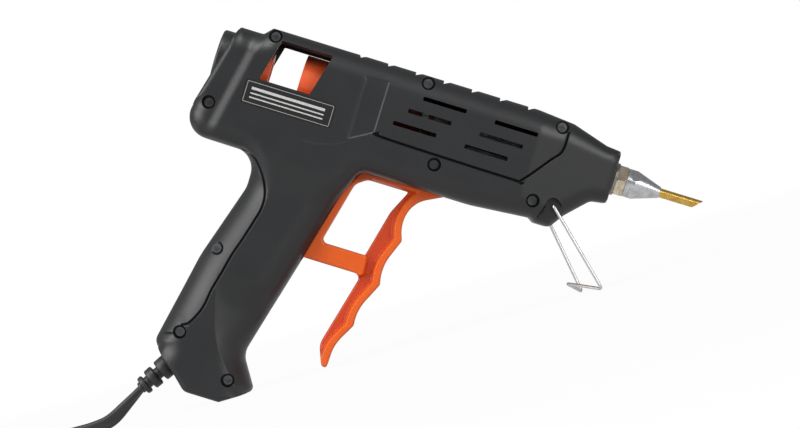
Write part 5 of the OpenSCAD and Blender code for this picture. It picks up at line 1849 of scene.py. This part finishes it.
@dataclass
class Fittings:
    """The inlet collar at the rear, the wire stand, the strain relief and the heater's leads."""

    collar: Point = (-187.0, -172.0, 13.2, 6.0)
    collar_round: float = 1.2
    collar_sides: int = 96
    face: tuple[Point, ...] = ((1.4, 0.0), (0.0, 1.6), (0.0, 3.4), (0.35, 3.6), (0.35, 4.2), (0.0, 4.4))
    groove: Point = (-176.5, -174.1, 11.0)
    wire: float = 0.74
    wire_bend: float = 2.2
    wire_aside: Point = (0.95, 0.2, 0.24)
    stand: tuple[Point, ...] = (
        (-23, -11, -19.7), (-23, -16.6, -19.7), (8.92, -16.6, -49.13), (-5.74, 0, -51.55),
        (2.90, 16.6, -53.07), (-20.2, 16.6, -27.7), (-23, 16.6, -19.7), (-23, 11, -19.7),
    )
    relief_at: Point = (-167.0, -138.5)
    relief_turn: float = 238.0
    relief: tuple[Point, ...] = (
        (-8, 0), (-8, 5.6), (-7.6, 6), (-4.2, 6), (-3.8, 5.6), (-3.8, 4.2), (0.2, 4.2), (0.2, 4.8),
        (0.6, 5.2), (5.0, 5.1), (5.4, 4.7), (5.4, 3.1), (5.6, 2.8), (7.5, 2.8), (7.7, 3.1), (7.7, 4.5),
        (8.1, 4.9), (11.1, 4.8), (11.5, 4.4), (11.5, 3.1), (11.7, 2.8), (13.4, 2.8), (13.6, 3.1),
        (13.6, 4.0), (14.0, 4.4), (15.5, 4.3), (15.9, 3.9), (15.9, 3.0), (16.1, 2.7), (16.9, 2.7),
        (17.3, 2.4), (17.3, 0),
    )
    core: Point = (2.8, 3.25)
    lead_r: float = 1.2
    lead_start: Point = (-73.0, 3.2, -12.9, 1.5)
    lead_route: tuple[Point, ...] = (
        (-79, 8, -11.5), (-92, 11, -12), (-106, 11, -17), (-126, 11.5, -26), (-142, 11.5, -37),
        (-149, 11, -56), (-151, 9, -84),
    )
    lead_out: Point = (0.05, 2.4)
    lead_aside: Point = (0.1, 0.99, 0.1)
    lead_sides: int = 14
    tail_back: float = 28.0
    tail_half: float = 1.56
    tail_in: Point = (4.8, 2.4, 0.05)
    relief_sides: int = 64

    def relief_way(self) -> Array:
        """Direction in which the cord leaves the grip, as x and z."""
        angle = math.radians(self.relief_turn)
        return np.array([math.cos(angle), math.sin(angle)])

    def build_collar(self) -> None:
        """Collar with a chamfered mouth, a rounded outer edge and the groove that holds it."""
        a, b, r, bore = self.collar
        g0, g1, gr = self.groove
        k = self.collar_round
        edge = np.linspace(0.0, np.pi / 2, 6)
        mouth = np.stack([a + k * (1 - np.sin(edge)), r - k * (1 - np.cos(edge))], -1)[::-1]
        face = [(a + deep, bore + out) for deep, out in self.face]
        line = np.concatenate([
            [(b, bore)], face, mouth, [(g0, r), (g0, gr), (g1, gr), (g1, r), (b, r)],
        ])
        piece = Surface().ring(line, self.collar_sides).piece("stick_inlet_ring", GUN, 30.0)
        settle(piece, COLLAR_BLACK, Rides.CASING, "casing", "inlet_collar")

    def build_stand(self) -> None:
        """Wire stand: a round wire along straight runs with short bends."""
        path = bent(np.array(self.stand, float), self.wire_bend, 10)
        made = Surface().tube(path, self.wire, np.array(self.wire_aside))
        settle(made.piece("stand_loop", GUN), STAND_STEEL, Rides.STAND, "wire", "wire_stand")

    def build_relief(self) -> None:
        """Strain relief: a ringed sleeve turned about its own axis, which leaves the grip's heel."""
        rows = np.array(self.relief, float)
        x, y, z = np.moveaxis(turned(rows, self.relief_sides), -1, 0)
        r = rows[:, 1:]
        y = y * np.where((r <= self.core[0]) & (r > 0.0), self.core[1] / self.core[0], 1.0)
        c, s = self.relief_way()
        placed = np.stack([self.relief_at[0] + x * c - z * s, y, self.relief_at[1] + x * s + z * c], -1)
        piece = Surface().grid(placed, wrap_v=True).piece("cord_relief", GUN, 50.0)
        settle(piece, RELIEF_BLACK, Rides.CASING, "rubber", "strain_relief")

    def build_leads(self) -> None:
        """Two sleeved leads from the heater's crimps to the cord's tail, as smooth tubes."""
        way = self.relief_way()
        tail = np.array(self.relief_at) - self.tail_back * way
        x, y, z, rise = self.lead_start
        made = Surface()
        for sign in (-1.0, 1.0):
            start = [(x - out, sign * y, z + sign * rise) for out in self.lead_out]
            middle = [(px, sign * py, pz) for px, py, pz in self.lead_route]
            ends = [(tail[0] - way[0] * back, sign * self.tail_half, tail[1] - way[1] * back)
                    for back in self.tail_in]
            route = np.array([*start, *middle, *ends], float)
            made.tube(spline(route, 8), self.lead_r, np.array(self.lead_aside), self.lead_sides)
        settle(made.piece("lead_pair", GUN), SLEEVING, Rides.CASING, "lead", "heater_leads")

    def build(self) -> None:
        """Make the fittings."""
        self.build_collar()
        self.build_stand()
        self.build_relief()
        self.build_leads()


@dataclass
class Works:
    """The pieces inside, which keep their CAD shapes and get their finishes."""

    finishes: dict[str, Finish] = field(default_factory=lambda: {
        "feed_carriage": RED_ORANGE, "grip_washer": ZINC, "feed_lever": ORANGE, "lever_pin": ZINC,
        "inlet_sleeve": SILICONE, "sleeve_clip": ZINC, "melt_chamber": CHAMBER, "heater_plate": CERAMIC,
        "heater_contacts": CONTACT, "heater_insulator": FILM, "lead_crimps": ZINC, "cord_tail": CORD_BLACK,
        "cord_clamp": COLLAR_BLACK, "clamp_screws": ZINC,
    })

    def build(self) -> None:
        """Dress every node that is kept."""
        for name, finish in self.finishes.items():
            finish.dress(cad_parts[name])
            LOG.info("%s keeps its CAD shape in %s", name, finish.name)


def main() -> None:
    """Build the scene: camera and cord first, then the gun from the outside in."""
    logging.basicConfig(level=logging.INFO, format="%(name)s: %(message)s")
    for group in (Studio(), Cord(), Casing(), Trigger(), Nozzle(), Fittings(), Works()):
        group.build()


if __name__ == "__main__":
    main()
